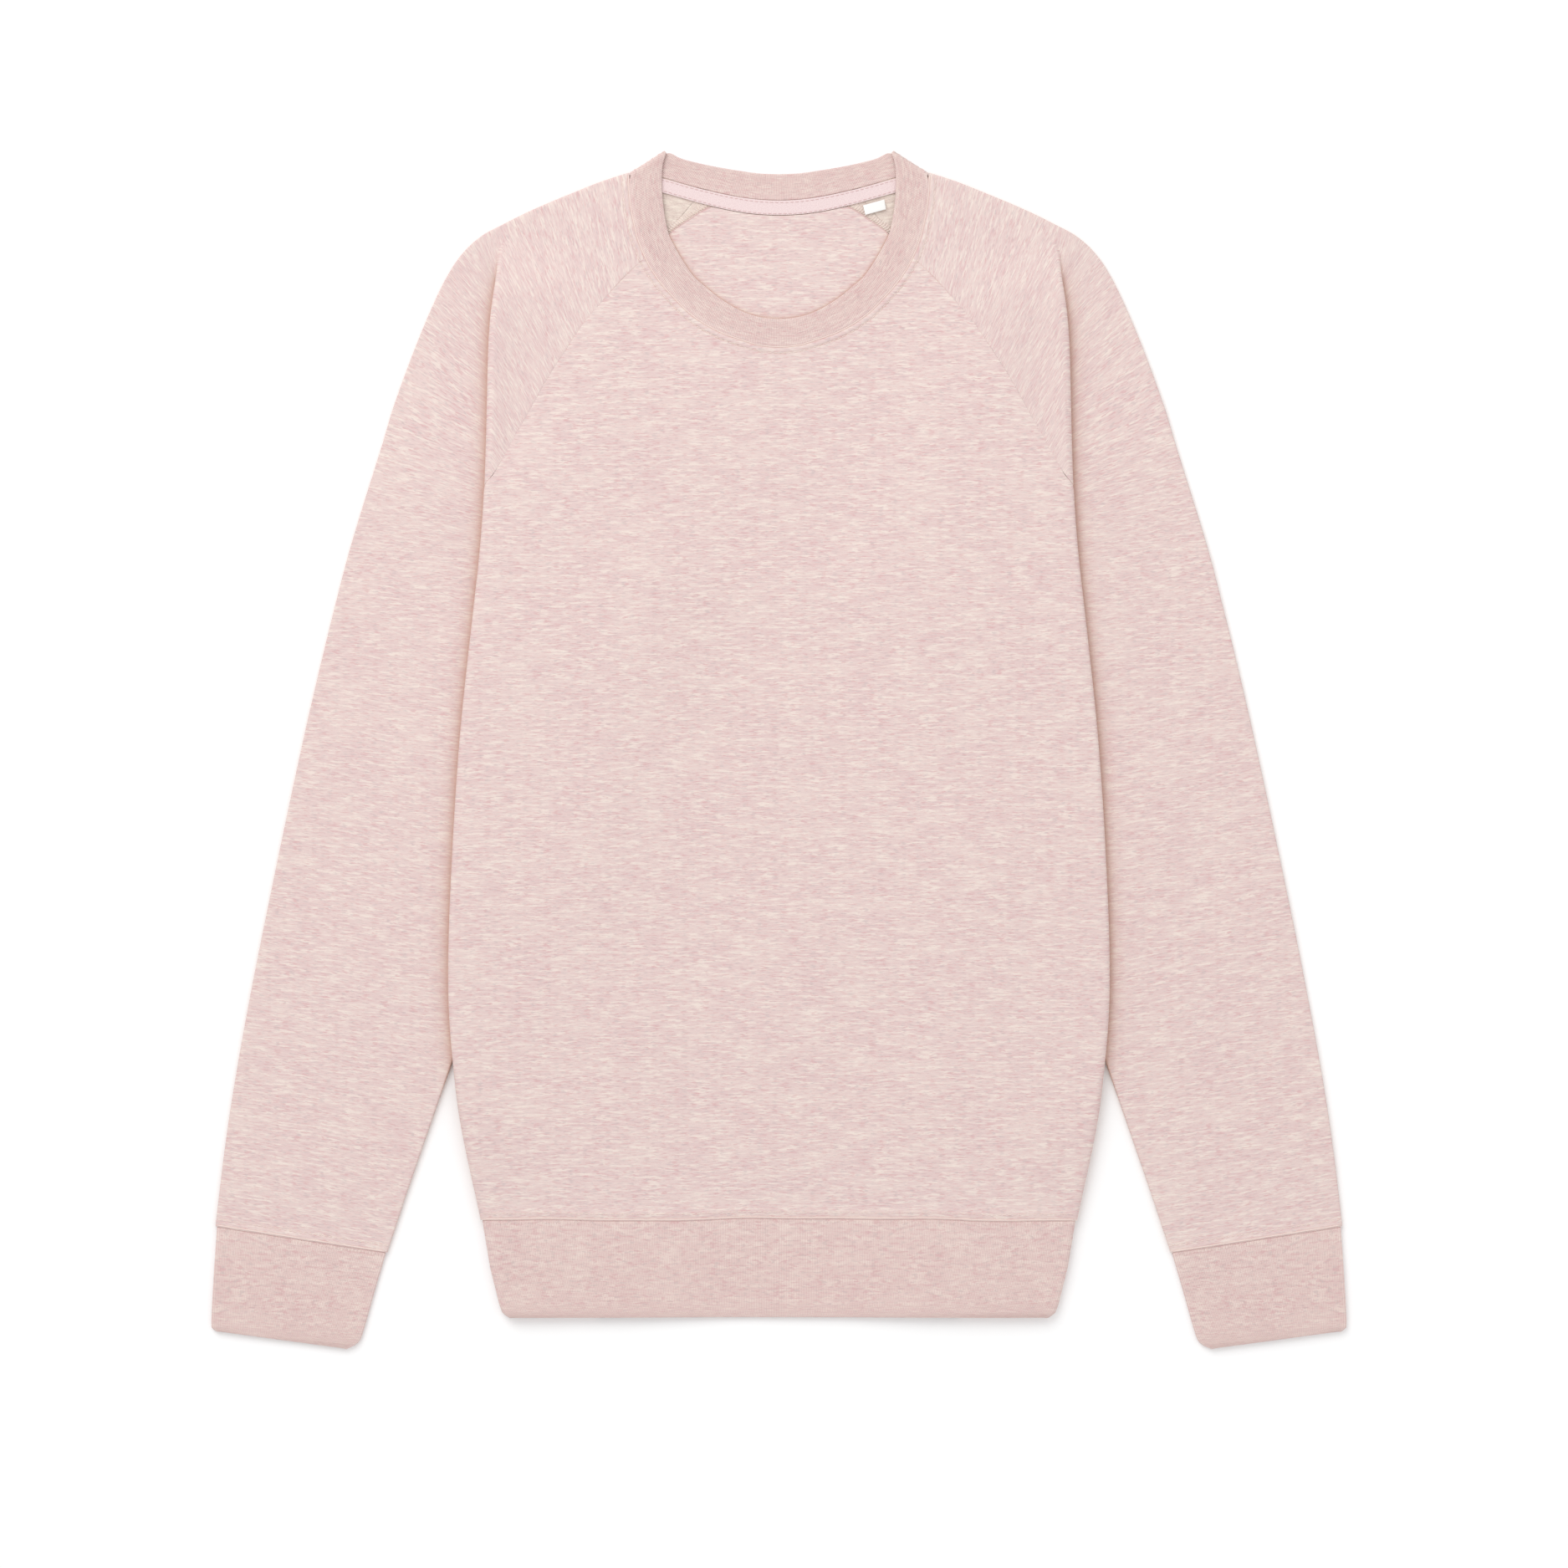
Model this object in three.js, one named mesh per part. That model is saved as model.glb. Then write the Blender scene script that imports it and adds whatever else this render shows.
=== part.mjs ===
// A crewneck raglan sweatshirt laid flat, front up, in millimetres: +Y to the neck, +Z up off the table.
// Its sides are folded under along the side fold, and each sleeve is turned down by a pleat that
// starts at the shoulder and runs to the underarm, so the sleeves lie under the folded body.
import * as THREE from "three";

// Cloth and stacking
const CLOTH = 1.2;
const PITCH = 1.5;
const SEAM_GAP = 0.3;
const SEAM_SHIFT = 0.24;
const SEAM_LEVEL_SHIFT = 0.36;
const FOLD_SEAM_SHIFT = 0.42;
const CORNER_INSET = 0.6;
const ROW_SPACE = 1;
const KNEE_SHARE = 0.3;
const KNOT_SPACE = 4;
const MERGE_STEPS = 200;
const END_TURN = 0.75;
const COLLAR_THICKNESS = 1.9;
const TRIM_THICKNESS = 0.9;
const LABEL_THICKNESS = 0.5;
const COLLAR_BACK_HEIGHT = COLLAR_THICKNESS / 2;
const COLLAR_FRONT_HEIGHT = 3.65;
const COLLAR_SEGMENTS = 4;
const TRIM_HEIGHT = CLOTH + SEAM_GAP + TRIM_THICKNESS / 2;

// Overall layout
const HEM_SEAM_Y = -286;
const UNDERARM = { u: 92, y: 100 };
const PLEAT_TIP = { u: 169, y: 286 };
const PLEAT_LENGTH = 1.5;
const NECK_CENTRE_Y = 300;
const NECK_LIFT = 1.3;
const NECK_LIFT_REACH = 105;
const NECK_LIFT_FADE = 80;
const BACK_RAMP = 18;
const FRONT_RAMP = 85;
const FLAP_CLEARANCE = 4;
const PLEAT_CLEARANCE = 5.5;

// Half-height of the silhouette outside a fold's centre line
const TUBE_FOLD = PITCH / 2;
const TUBE_EDGE = TUBE_FOLD + CLOTH / 2;
const SIDE_EDGE = 1.5 * PITCH + CLOTH / 2;

// Segments along one row of each cloth panel
const SEGMENTS = { top: 4, turn: 4, flap: 2, pleat: 3, sleeve: 4, edge: 4, bodyTop: 6, bodyFlap: 4 };

// The side fold of the body, seen from the front
const SIDE_FOLD = [
  { y: 318, u: 171.3 },
  { y: 288, u: 172.5 },
  { y: 253, u: 176 },
  { y: 192, u: 177 },
  { y: 130, u: 180.3 },
  { y: 70, u: 186.7 },
  { y: 8, u: 193.3 },
  { y: -73, u: 198.4 },
  { y: -150, u: 200.5 },
  { y: -206, u: 195.3 },
  { y: -267, u: 184.6 },
  { y: -308, u: 177.2 },
  { y: -347, u: 168 },
];

// The side seam, hidden under the folded body
const SIDE_SEAM = [
  { y: 100, u: 90 },
  { y: -2, u: 110.4 },
  { y: -104, u: 124.2 },
  { y: -170, u: 132.5 },
  { y: -286, u: 118 },
  { y: -347, u: 109 },
];

// The sleeve's inner edge, which shows below the crotch of sleeve and body
const SLEEVE_INNER = [
  { y: 100, u: 90 },
  { y: -2, u: 131.3 },
  { y: -104, u: 168 },
  { y: -188, u: 198.1 },
  { y: -247, u: 218.8 },
  { y: -307, u: 238.9 },
];

// The sleeve's outer edge
const SLEEVE_OUTER = [
  { y: 115, u: 263.5 },
  { y: 58, u: 278 },
  { y: 4, u: 290.4 },
  { y: -60, u: 304 },
  { y: -125, u: 317.4 },
  { y: -175, u: 327 },
  { y: -226, u: 335.6 },
  { y: -291, u: 343.4 },
];

// How far the pleat has turned where it crosses the side fold, above the full fold
const PLEAT_TURN = [
  { y: 319, degrees: 0 },
  { y: 304.4, degrees: 50 },
  { y: 293.7, degrees: 100 },
  { y: 283, degrees: 150 },
  { y: 276, degrees: 180 },
];

// One row of the sleeve for each entry, from the collar to the underarm. The front and back start
// at their raglan seams, on the top, round the side fold or on the flap, and all end at the outer edge.
// Above the pleat, the knee is the share of the row at which the points draw together for the fold below.
const SHOULDER_ROWS = [
  { start: "collar", front: [81.5, 299.4], back: [46.8, 341.2], outer: [93.8, 349.8] },
  { start: "top", front: [93.5, 289], back: [57, 327.5], outer: [108, 345.8], knee: 0.38 },
  { start: "top", front: [105.5, 275], back: [68, 316.3], outer: [124, 339.3], knee: 0.5 },
  { start: "top", front: [117.8, 260.5], back: [82, 299], outer: [142, 332.2], knee: 0.64 },
  { start: "top", front: [125, 250], back: [93, 283.5], outer: [158, 325.2], knee: 0.78 },
  { start: "top", front: [131.7, 239.5], back: [103, 268], outer: [170, 318.9], knee: 0.9 },
  { start: "top", front: [134.5, 235.3], back: [107, 261.5], outer: [174.8, 316.7], foldY: 304.4 },
  { start: "top", front: [137.4, 231], back: [111, 255.5], outer: [179.3, 314.4], foldY: 293.7 },
  { start: "top", front: [140, 226.5], back: [115, 249], outer: [183.7, 311], foldY: 283 },
  { start: "top", front: [142.5, 222.5], back: [119, 243], outer: [188.2, 307.6], foldY: 272.6, pleatY: 270 },
  { start: "top", front: [150.3, 208], back: [133, 222], outer: [198.5, 296.2], foldY: 249.4, pleatY: 243 },
  { start: "top", front: [160.6, 190], back: [149, 198.5], outer: [210, 273.5], foldY: 213, pleatY: 207 },
  { start: "top", front: [170.1, 172], back: [166, 174], outer: [222.6, 243], foldY: 178, pleatY: 176 },
  { start: "turn", degrees: 4, outer: [230, 222.6], foldY: 164, pleatY: 165 },
  { start: "turn", degrees: 60, outer: [232.2, 216.4], foldY: 161, pleatY: 160 },
  { start: "turn", degrees: 120, outer: [234.4, 210.1], foldY: 158, pleatY: 155 },
  { start: "turn", degrees: 160, outer: [236.6, 203.8], foldY: 155, pleatY: 150 },
  { start: "flap", seam: [166, 149], outer: [240.4, 190], pleatY: 143 },
  { start: "flap", seam: [152, 141], outer: [245, 175.5], pleatY: 135 },
  { start: "flap", seam: [136, 131], outer: [250.1, 159.3], pleatY: 126 },
  { start: "flap", seam: [118, 119], outer: [255.2, 143], pleatY: 116 },
  { start: "flap", seam: [102, 108], outer: [259.6, 128.5], pleatY: 107 },
  { start: "flap", seam: [93.5, 101], outer: [263.5, 115], pleatY: 100 },
];

// One row of the sleeve's tube for each entry, from the underarm to the cuff seam
const TUBE_ROWS = [
  { innerY: 96, outerY: 107 },
  { innerY: 45, outerY: 58 },
  { innerY: -10, outerY: 4 },
  { innerY: -75, outerY: -60 },
  { innerY: -140, outerY: -125 },
  { innerY: -190, outerY: -175 },
  { innerY: -240, outerY: -226 },
  { innerY: -306.3, outerY: -290.2 },
];

// Levels of the body's rows below the underarm, and more rows where the back passes over the pleat
const BODY_ROWS_Y = [94, 75, 50, 20, -10, -45, -80, -115, -150, -175, -190, -205, -222, -245, HEM_SEAM_Y];
const EXTRA_ROWS_Y = { front: [], back: [214, 206, 188] };
const UNDERARM_ROW = SHOULDER_ROWS[SHOULDER_ROWS.length - 1];

const CUFF_ROWS = [
  { inner: [239.4, -306.7], outer: [342.6, -290.6] },
  { inner: [246, -329], outer: [344.8, -325] },
  { inner: [252.8, -353], outer: [346, -348.6] },
  { inner: [256.2, -361], outer: [345, -352.4] },
  { inner: [263.5, -364.9], outer: [342, -354.2] },
];

const HEM_ROWS = [
  { y: HEM_SEAM_Y - SEAM_GAP, inset: 1.2 },
  { y: -315, inset: 0 },
  { y: -338, inset: 0 },
  { y: -343, inset: 1.2 },
  { y: -345.6, inset: 4.5 },
];

// The seam of the collar and its free edge, from the centre front to the shoulder and on to the back
const COLLAR_FRONT = [
  { seam: [0, 245.3], free: [0, 262.1] },
  { seam: [12, 246.4], free: [8, 262.8] },
  { seam: [23, 249.7], free: [15.8, 264.4] },
  { seam: [34.5, 253.8], free: [23.3, 267.3] },
  { seam: [44.9, 259.2], free: [30.3, 271.1] },
  { seam: [54.4, 265.9], free: [37.6, 276] },
  { seam: [62.5, 273.9], free: [44.4, 281.6] },
  { seam: [71.6, 284], free: [51.6, 288] },
  { seam: [78.5, 294.4], free: [57.8, 296.7] },
  { seam: [83.4, 304.6], free: [63.4, 306.4] },
  { seam: [86.9, 315.2], free: [67.8, 316.6] },
  { seam: [90.3, 332.4], free: [70.9, 337] },
  { seam: [91.2, 344], free: [70.9, 354] },
  { seam: [91.6, 351.3], free: [69.8, 365.2] },
];
const COLLAR_BACK = [
  { seam: [91.6, 351.3], free: [69.8, 365.2] },
  { seam: [82, 350.6], free: [65.5, 363.2] },
  { seam: [70.6, 348.4], free: [59.5, 360.2] },
  { seam: [57.6, 344.6], free: [48.9, 357.4] },
  { seam: [44.9, 341.2], free: [38, 355.1] },
  { seam: [30, 337.8], free: [25.4, 353] },
  { seam: [15, 335.4], free: [12.7, 351.2] },
  { seam: [0, 334.6], free: [0, 350.7] },
];

const TAPE = [
  { upper: [0, 334.2], lower: [0, 325.4] },
  { upper: [15, 335], lower: [15.5, 326.1] },
  { upper: [30, 337.4], lower: [31, 328.6] },
  { upper: [44.9, 340.8], lower: [46.4, 332.4] },
  { upper: [57.8, 344.2], lower: [59.4, 336] },
  { upper: [69.4, 347.5], lower: [71.2, 339.4] },
  { upper: [78, 349.5], lower: [79.5, 341.2] },
];

const HALF_MOON = [
  { u: 0, upper: 325, lower: 225 },
  { u: 14, upper: 325.6, lower: 226.4 },
  { u: 28, upper: 327.6, lower: 230.6 },
  { u: 41.5, upper: 330.9, lower: 238 },
  { u: 44.5, upper: 330.2, lower: 240.2 },
  { u: 54.5, upper: 323.5, lower: 249.5 },
  { u: 64.5, upper: 316.6, lower: 264.4 },
  { u: 70.5, upper: 309.5, lower: 280.5 },
  { u: 72.5, upper: 303.5, lower: 291.5 },
];

const LABEL_CORNERS = [
  { u: 51.2, y: 331.4 },
  { u: 64.2, y: 335 },
  { u: 65.2, y: 329 },
  { u: 52.6, y: 325.6 },
];

const COLOURS = {
  cloth: 0xe8d1cc,
  rib: 0xe2c2c2,
  tape: 0xe6c8cf,
  label: 0xf4f3f1,
};

function smoothstep(x) {
  const k = THREE.MathUtils.clamp(x, 0, 1);
  return k * k * (3 - 2 * k);
}

const straight = (x) => THREE.MathUtils.clamp(x, 0, 1);

// A smooth curve through a table's knots, read at y; past its ends the last slope goes on.
function curveAt(table, y, column = "u") {
  const n = table.length;
  const slope = (i) => {
    const a = table[Math.max(i - 1, 0)];
    const b = table[Math.min(i + 1, n - 1)];
    return (b[column] - a[column]) / (b.y - a.y);
  };
  if (y >= table[0].y) return table[0][column] + slope(0) * (y - table[0].y);
  if (y <= table[n - 1].y) return table[n - 1][column] + slope(n - 1) * (y - table[n - 1].y);
  const i = table.findIndex((row) => y > row.y) - 1;
  const a = table[i];
  const b = table[i + 1];
  const h = b.y - a.y;
  const s = (y - a.y) / h;
  const s2 = s * s;
  const s3 = s2 * s;
  return (
    (2 * s3 - 3 * s2 + 1) * a[column] +
    (s3 - 2 * s2 + s) * h * slope(i) +
    (3 * s2 - 2 * s3) * b[column] +
    (s3 - s2) * h * slope(i + 1)
  );
}

// Straight lines between a table's knots, so that two panels share the same seam.
function lineAt(table, y, column = "u") {
  const below = table.findIndex((row) => y >= row.y);
  const i = below < 0 ? table.length - 1 : Math.max(below, 1);
  const a = table[i - 1];
  const b = table[i];
  return a[column] + ((b[column] - a[column]) * (y - a.y)) / (b.y - a.y);
}

const sideFold = (y) => curveAt(SIDE_FOLD, y) - SIDE_EDGE;
const pleatLine = (y) =>
  UNDERARM.u + ((PLEAT_TIP.u - UNDERARM.u) * (y - UNDERARM.y)) / (PLEAT_TIP.y - UNDERARM.y);
const pleatInward = new THREE.Vector2(UNDERARM.y - PLEAT_TIP.y, PLEAT_TIP.u - UNDERARM.u).normalize();

// Drop of the pleat between the top and the sleeve below, when it has turned by an angle.
function pleatDrop(turn) {
  return 2 * PITCH * (1 - Math.cos(turn)) + pleatLength(turn) * Math.sin(turn);
}

// The flat between the pleat's two folds, which closes up as the pleat turns flat.
function pleatLength(turn) {
  return (PLEAT_LENGTH * (1 + Math.cos(turn))) / 2;
}
const pleatTurn = (y) =>
  THREE.MathUtils.degToRad(THREE.MathUtils.clamp(lineAt(PLEAT_TURN, y, "degrees"), 0, 180));
const pleatShare = (y) => pleatDrop(pleatTurn(y)) / (4 * PITCH);

// How far the layers below raise the cloth above them: one step for the sleeve and one for the flap.
function raised(edgeAt, ramp, ease) {
  return (u, y) => {
    const share = y > UNDERARM.y ? pleatShare(y) : 1;
    return 2 * PITCH * share * ease(1 - (rampEdge(edgeAt, y) - Math.abs(u)) / ramp);
  };
}

// Where the cloth above has risen to its full height over an edge below it.
function rampEdge(edgeAt, y) {
  if (y <= UNDERARM.y) return edgeAt(y) - FLAP_CLEARANCE;
  return Math.min(pleatLine(y), sideFold(y)) - PLEAT_CLEARANCE;
}
const sleeveEdge = (y) => curveAt(SLEEVE_INNER, y);
const flapEdge = (y) => curveAt(SIDE_SEAM, y);
const overSleeve = raised(sleeveEdge, BACK_RAMP, straight);
const overFlap = raised(flapEdge, BACK_RAMP, straight);
const overSleeveWide = raised(sleeveEdge, FRONT_RAMP, smoothstep);
const overFlapWide = raised(flapEdge, FRONT_RAMP, smoothstep);

function neckLift(u, y) {
  const away = Math.hypot(u, y - NECK_CENTRE_Y) - NECK_LIFT_REACH;
  return NECK_LIFT * (1 - smoothstep(away / NECK_LIFT_FADE));
}

// Middle heights of each layer of cloth
const backTop = (u, y) => CLOTH / 2 + overSleeve(u, y) + overFlap(u, y);
const frontTop = (u, y) => CLOTH / 2 + PITCH + overSleeveWide(u, y) + overFlapWide(u, y) + neckLift(u, y);
const frontFlap = (u, y) => CLOTH / 2 + overSleeve(u, y);
const backFlap = (u, y) => frontFlap(u, y) + PITCH;
const sleeveBack = CLOTH / 2;
const sleeveFront = (u, y) => CLOTH / 2 + PITCH + neckLift(u, y);

const point = (u, y, z) => new THREE.Vector3(u, y, z);

// Points from a to b in plan on a layer, without the first one.
function leg(a, b, segments, height) {
  const points = [];
  for (let i = 1; i <= segments; i++) {
    const s = i / segments;
    const u = a.u + (b.u - a.u) * s;
    const y = a.y + (b.y - a.y) * s;
    points.push(point(u, y, height(u, y)));
  }
  return points;
}

// Points from a to b at one y, with one at each end of a ramp that lies between them.
function rampedLeg(a, b, segments, height, edges = [flapEdge, sleeveEdge]) {
  const { y } = a;
  const low = Math.min(a.u, b.u);
  const high = Math.max(a.u, b.u);
  const ramps = edges.map((edgeAt) => rampEdge(edgeAt, y));
  const stops = ramps.flatMap((edge) => [edge - BACK_RAMP, edge]);
  const spread = Math.max(Math.min(...stops), low);
  for (let i = 1; stops.length < segments - 1; i++) stops.push(low + (spread - low) * (1 - 0.5 ** i));
  const us = stops.map((u) => THREE.MathUtils.clamp(u, low, high)).sort((p, q) => p - q);
  const way = a.u < b.u ? [...us, high] : [...us.reverse(), low];
  return way.slice(-segments).map((u) => point(u, y, height(u, y)));
}

// Points at equal distances along a line of knots in plan.
function polylinePoints(knots, segments) {
  const path = new THREE.CurvePath();
  for (let i = 0; i + 1 < knots.length; i++) {
    const [a, b] = [knots[i], knots[i + 1]];
    path.add(new THREE.LineCurve(new THREE.Vector2(a.u, a.y), new THREE.Vector2(b.u, b.y)));
  }
  return Array.from({ length: segments + 1 }, (_, i) => {
    const p = path.getPoint(i / segments);
    return { u: p.x, y: p.y };
  });
}

// Points round a fold, from one turn to another: 0 is its top layer and PI its bottom layer.
function turnRound(centre, outward, radius, middle, from, to, segments) {
  const points = [];
  for (let i = 1; i <= segments; i++) {
    const turn = from + ((to - from) * i) / segments;
    const out = radius * Math.sin(turn);
    points.push(
      point(centre.u + outward.x * out, centre.y + outward.y * out, middle + radius * Math.cos(turn)),
    );
  }
  return points;
}

const OUTWARD = new THREE.Vector2(1, 0);
const INWARD = new THREE.Vector2(-1, 0);
const repeated = (p, count) => Array.from({ length: count }, () => p.clone());

// Joins a grid of points, row by row, into quads with shared vertices, then gives them thickness.
class Sheet {
  constructor(thickness) {
    this.half = thickness / 2;
    this.points = [];
    this.indexOf = new Map();
    this.faces = [];
  }

  vertex(p) {
    const key = [p.x, p.y, p.z].map((v) => Math.sign(v) * Math.round(Math.abs(v) * MERGE_STEPS)).join(",");
    if (!this.indexOf.has(key)) {
      this.indexOf.set(key, this.points.length);
      this.points.push(p);
    }
    return this.indexOf.get(key);
  }

  face(a, b, c) {
    if (a !== b && b !== c && c !== a) this.faces.push([a, b, c]);
  }

  grid(rows, flip = false) {
    const indices = rows.map((row) => row.map((p) => this.vertex(p)));
    for (let i = 0; i + 1 < indices.length; i++)
      for (let j = 0; j + 1 < indices[i].length; j++) {
        const [a, b] = [indices[i][j], indices[i][j + 1]];
        const [c, d] = [indices[i + 1][j + 1], indices[i + 1][j]];
        const corners = flip ? [d, c, b, a] : [a, b, c, d];
        const across = this.points[corners[0]].distanceTo(this.points[corners[2]]);
        const other = this.points[corners[1]].distanceTo(this.points[corners[3]]);
        const shorter = flip ? across < other : across <= other;
        const [p, q, r, s] = shorter ? corners : [...corners.slice(1), corners[0]];
        this.face(p, q, r);
        this.face(p, r, s);
      }
    return this;
  }

  mirrored(rows) {
    this.grid(rows);
    return this.grid(rows.map((row) => row.map((p) => point(-p.x, p.y, p.z))), true);
  }

  normals() {
    const normals = this.points.map(() => new THREE.Vector3());
    for (const face of this.faces) {
      const corners = face.map((i) => this.points[i]);
      const plane = new THREE.Triangle(...corners).getNormal(new THREE.Vector3());
      face.forEach((vertex, i) => {
        const one = corners[(i + 1) % 3].clone().sub(corners[i]);
        const two = corners[(i + 2) % 3].clone().sub(corners[i]);
        normals[vertex].addScaledVector(plane, one.angleTo(two));
      });
    }
    return normals.map((n) => n.normalize());
  }

  geometry() {
    const normals = this.normals();
    const count = this.points.length;
    const side = (sign) =>
      this.points.flatMap((p, i) => {
        const moved = p.clone().addScaledVector(normals[i], sign * this.half);
        return [moved.x, moved.y, Math.max(moved.z, 0)];
      });
    const edges = new Map();
    for (const face of this.faces)
      face.forEach((a, i) => edges.set(a + "," + face[(i + 1) % 3], [a, face[(i + 1) % 3]]));
    const index = [];
    for (const [a, b, c] of this.faces) {
      index.push(a, b, c);
      index.push(a + count, c + count, b + count);
    }
    for (const [a, b] of edges.values())
      if (!edges.has(b + "," + a)) {
        index.push(b, a, a + count);
        index.push(b, a + count, b + count);
      }
    const geometry = new THREE.BufferGeometry();
    geometry.setAttribute("position", new THREE.Float32BufferAttribute([...side(1), ...side(-1)], 3));
    geometry.setIndex(volume(geometry, index) < 0 ? reversed(index) : index);
    return geometry;
  }
}

function volume(geometry, index) {
  const at = geometry.getAttribute("position");
  const corner = (i) => new THREE.Vector3().fromBufferAttribute(at, index[i]);
  let sum = 0;
  for (let i = 0; i < index.length; i += 3) sum += corner(i).dot(corner(i + 1).cross(corner(i + 2)));
  return sum / 6;
}

function reversed(index) {
  const turned = [];
  for (let i = 0; i < index.length; i += 3) turned.push(index[i], index[i + 2], index[i + 1]);
  return turned;
}

const S = SEGMENTS;
const at = ([u, y]) => ({ u, y });
const shifted = (p, towards, distance) => {
  const d = Math.hypot(towards.u - p.u, towards.y - p.y) || 1;
  return { u: p.u + ((towards.u - p.u) * distance) / d, y: p.y + ((towards.y - p.y) * distance) / d };
};

const between = (a, b, s) => ({ u: a.u + (b.u - a.u) * s, y: a.y + (b.y - a.y) * s });

// Points of one face of the sleeve from its seam to the outer edge: the top, the side fold, the flap,
// the pleat's inner fold and the sleeve below. The front is the outer layer at the side fold, and the
// back is the outer layer at the inner fold, so each radius is an odd half of the pitch.
function sleeveFace(row, side, next) {
  const front = side === "front";
  const topHeight = front ? frontTop : backTop;
  const lowHeight = front ? sleeveFront : () => sleeveBack;
  const flapHeight = front ? CLOTH / 2 + 2 * PITCH : CLOTH / 2 + 3 * PITCH;
  const innerRadius = front ? PITCH / 2 : 1.5 * PITCH;
  const innerMiddle = CLOTH / 2 + 1.5 * PITCH;
  const outer = { u: row.outer[0] - next.x * TUBE_EDGE, y: row.outer[1] - next.y * TUBE_EDGE };
  const points = [];
  const total = S.top + S.turn + S.flap + S.pleat + S.sleeve;
  if (row.start === "collar") {
    const seam = front ? frontNeckEdge : backNeckEdge;
    const between = seam.filter((p) => p.y > row[side][1] + ROW_SPACE && p.u > row[side][0] + ROW_SPACE);
    const line = between.filter((p) => Math.hypot(p.u - outer.u, p.y - outer.y) > KNOT_SPACE);
    const edge = polylinePoints([at(row[side]), ...line, outer], total);
    return { points: edge.map(({ u, y }) => point(u, y, topHeight(u, y))), outer };
  }
  if (row.start === "top") {
    const seam = shifted(at(row[side]), outer, SEAM_SHIFT);
    if (!row.foldY) {
      const knee = between(seam, outer, row.knee);
      const past = between(knee, outer, KNEE_SHARE);
      points.push(point(seam.u, seam.y, topHeight(seam.u, seam.y)), ...leg(seam, knee, S.top, topHeight));
      points.push(...leg(knee, past, S.turn + S.flap + S.pleat, topHeight));
      points.push(...leg(past, outer, S.sleeve, topHeight));
      return { points, outer };
    }
    const fold = { u: sideFold(row.foldY), y: row.foldY };
    points.push(point(seam.u, seam.y, topHeight(seam.u, seam.y)), ...leg(seam, fold, S.top, topHeight));
    if (!row.pleatY) {
      const turn = pleatTurn(row.foldY);
      points.push(...partPleat(fold, turn, topHeight(fold.u, fold.y), front));
      const last = points[points.length - 1];
      points.push(...leg({ u: last.x, y: last.y }, outer, S.sleeve, lowHeight));
      return { points, outer };
    }
    const top = topHeight(fold.u, fold.y);
    const radius = (top - flapHeight) / 2;
    points.push(...turnRound(fold, OUTWARD, radius, (top + flapHeight) / 2, 0, Math.PI, S.turn));
    const pleat = { u: pleatLine(row.pleatY), y: row.pleatY };
    points.push(...leg(fold, pleat, S.flap, () => flapHeight));
    points.push(...turnRound(pleat, pleatInward, innerRadius, innerMiddle, 0, Math.PI, S.pleat));
    points.push(...leg(pleat, outer, S.sleeve, lowHeight));
    return { points, outer };
  }
  const pleat = { u: pleatLine(row.pleatY), y: row.pleatY };
  if (row.start === "turn") {
    const fold = { u: sideFold(row.foldY), y: row.foldY };
    const top = topHeight(fold.u, fold.y);
    const radius = (top - flapHeight) / 2;
    const from = Math.min(THREE.MathUtils.degToRad(row.degrees) + FOLD_SEAM_SHIFT / radius, Math.PI);
    const around = turnRound(fold, OUTWARD, radius, (top + flapHeight) / 2, from, Math.PI, S.turn);
    const [first] = turnRound(fold, OUTWARD, radius, (top + flapHeight) / 2, from, from, 1);
    points.push(...repeated(first, S.top + 1), ...around);
    points.push(...leg(fold, pleat, S.flap, () => flapHeight));
  } else {
    const seam = shifted(at(row.seam), pleat, SEAM_SHIFT);
    points.push(...repeated(point(seam.u, seam.y, flapHeight), S.top + 1 + S.turn));
    points.push(...leg(seam, pleat, S.flap, () => flapHeight));
  }
  points.push(...turnRound(pleat, pleatInward, innerRadius, innerMiddle, 0, Math.PI, S.pleat));
  points.push(...leg(pleat, outer, S.sleeve, lowHeight));
  return { points, outer };
}

// A pleat that has only turned part of the way: down round the side fold, along and level again.
function partPleat(fold, turn, top, front) {
  const first = (front ? 1.5 : 0.5) * PITCH;
  const second = (front ? 0.5 : 1.5) * PITCH;
  const points = [];
  let x = fold.u;
  let z = top;
  for (let i = 1; i <= S.turn; i++) {
    const a = (turn * i) / S.turn;
    points.push(point(fold.u + first * Math.sin(a), fold.y, top - first * (1 - Math.cos(a))));
  }
  x += first * Math.sin(turn);
  z -= first * (1 - Math.cos(turn));
  for (let i = 1; i <= S.flap; i++) {
    const s = (pleatLength(turn) * i) / S.flap;
    points.push(point(x + s * Math.cos(turn), fold.y, z - s * Math.sin(turn)));
  }
  x += pleatLength(turn) * Math.cos(turn) + second * Math.sin(turn);
  z -= pleatLength(turn) * Math.sin(turn) + second * (1 - Math.cos(turn));
  for (let i = 1; i <= S.pleat; i++) {
    const a = turn * (1 - i / S.pleat);
    points.push(point(x - second * Math.sin(a), fold.y, z + second * (1 - Math.cos(a))));
  }
  return points;
}

// A row of the sleeve: its front face, the fold at its outer edge and its back face.
function sleeveRow(row, next) {
  const { points: front, outer } = sleeveFace(row, "front", next);
  const { points: back } = sleeveFace(row, "back", next);
  const top = front[front.length - 1].z;
  const radius = (top - sleeveBack) / 2;
  const edge = turnRound(outer, next, radius, (top + sleeveBack) / 2, 0, Math.PI, S.edge);
  edge.pop();
  return [...front, ...edge, ...back.reverse()];
}

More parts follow.
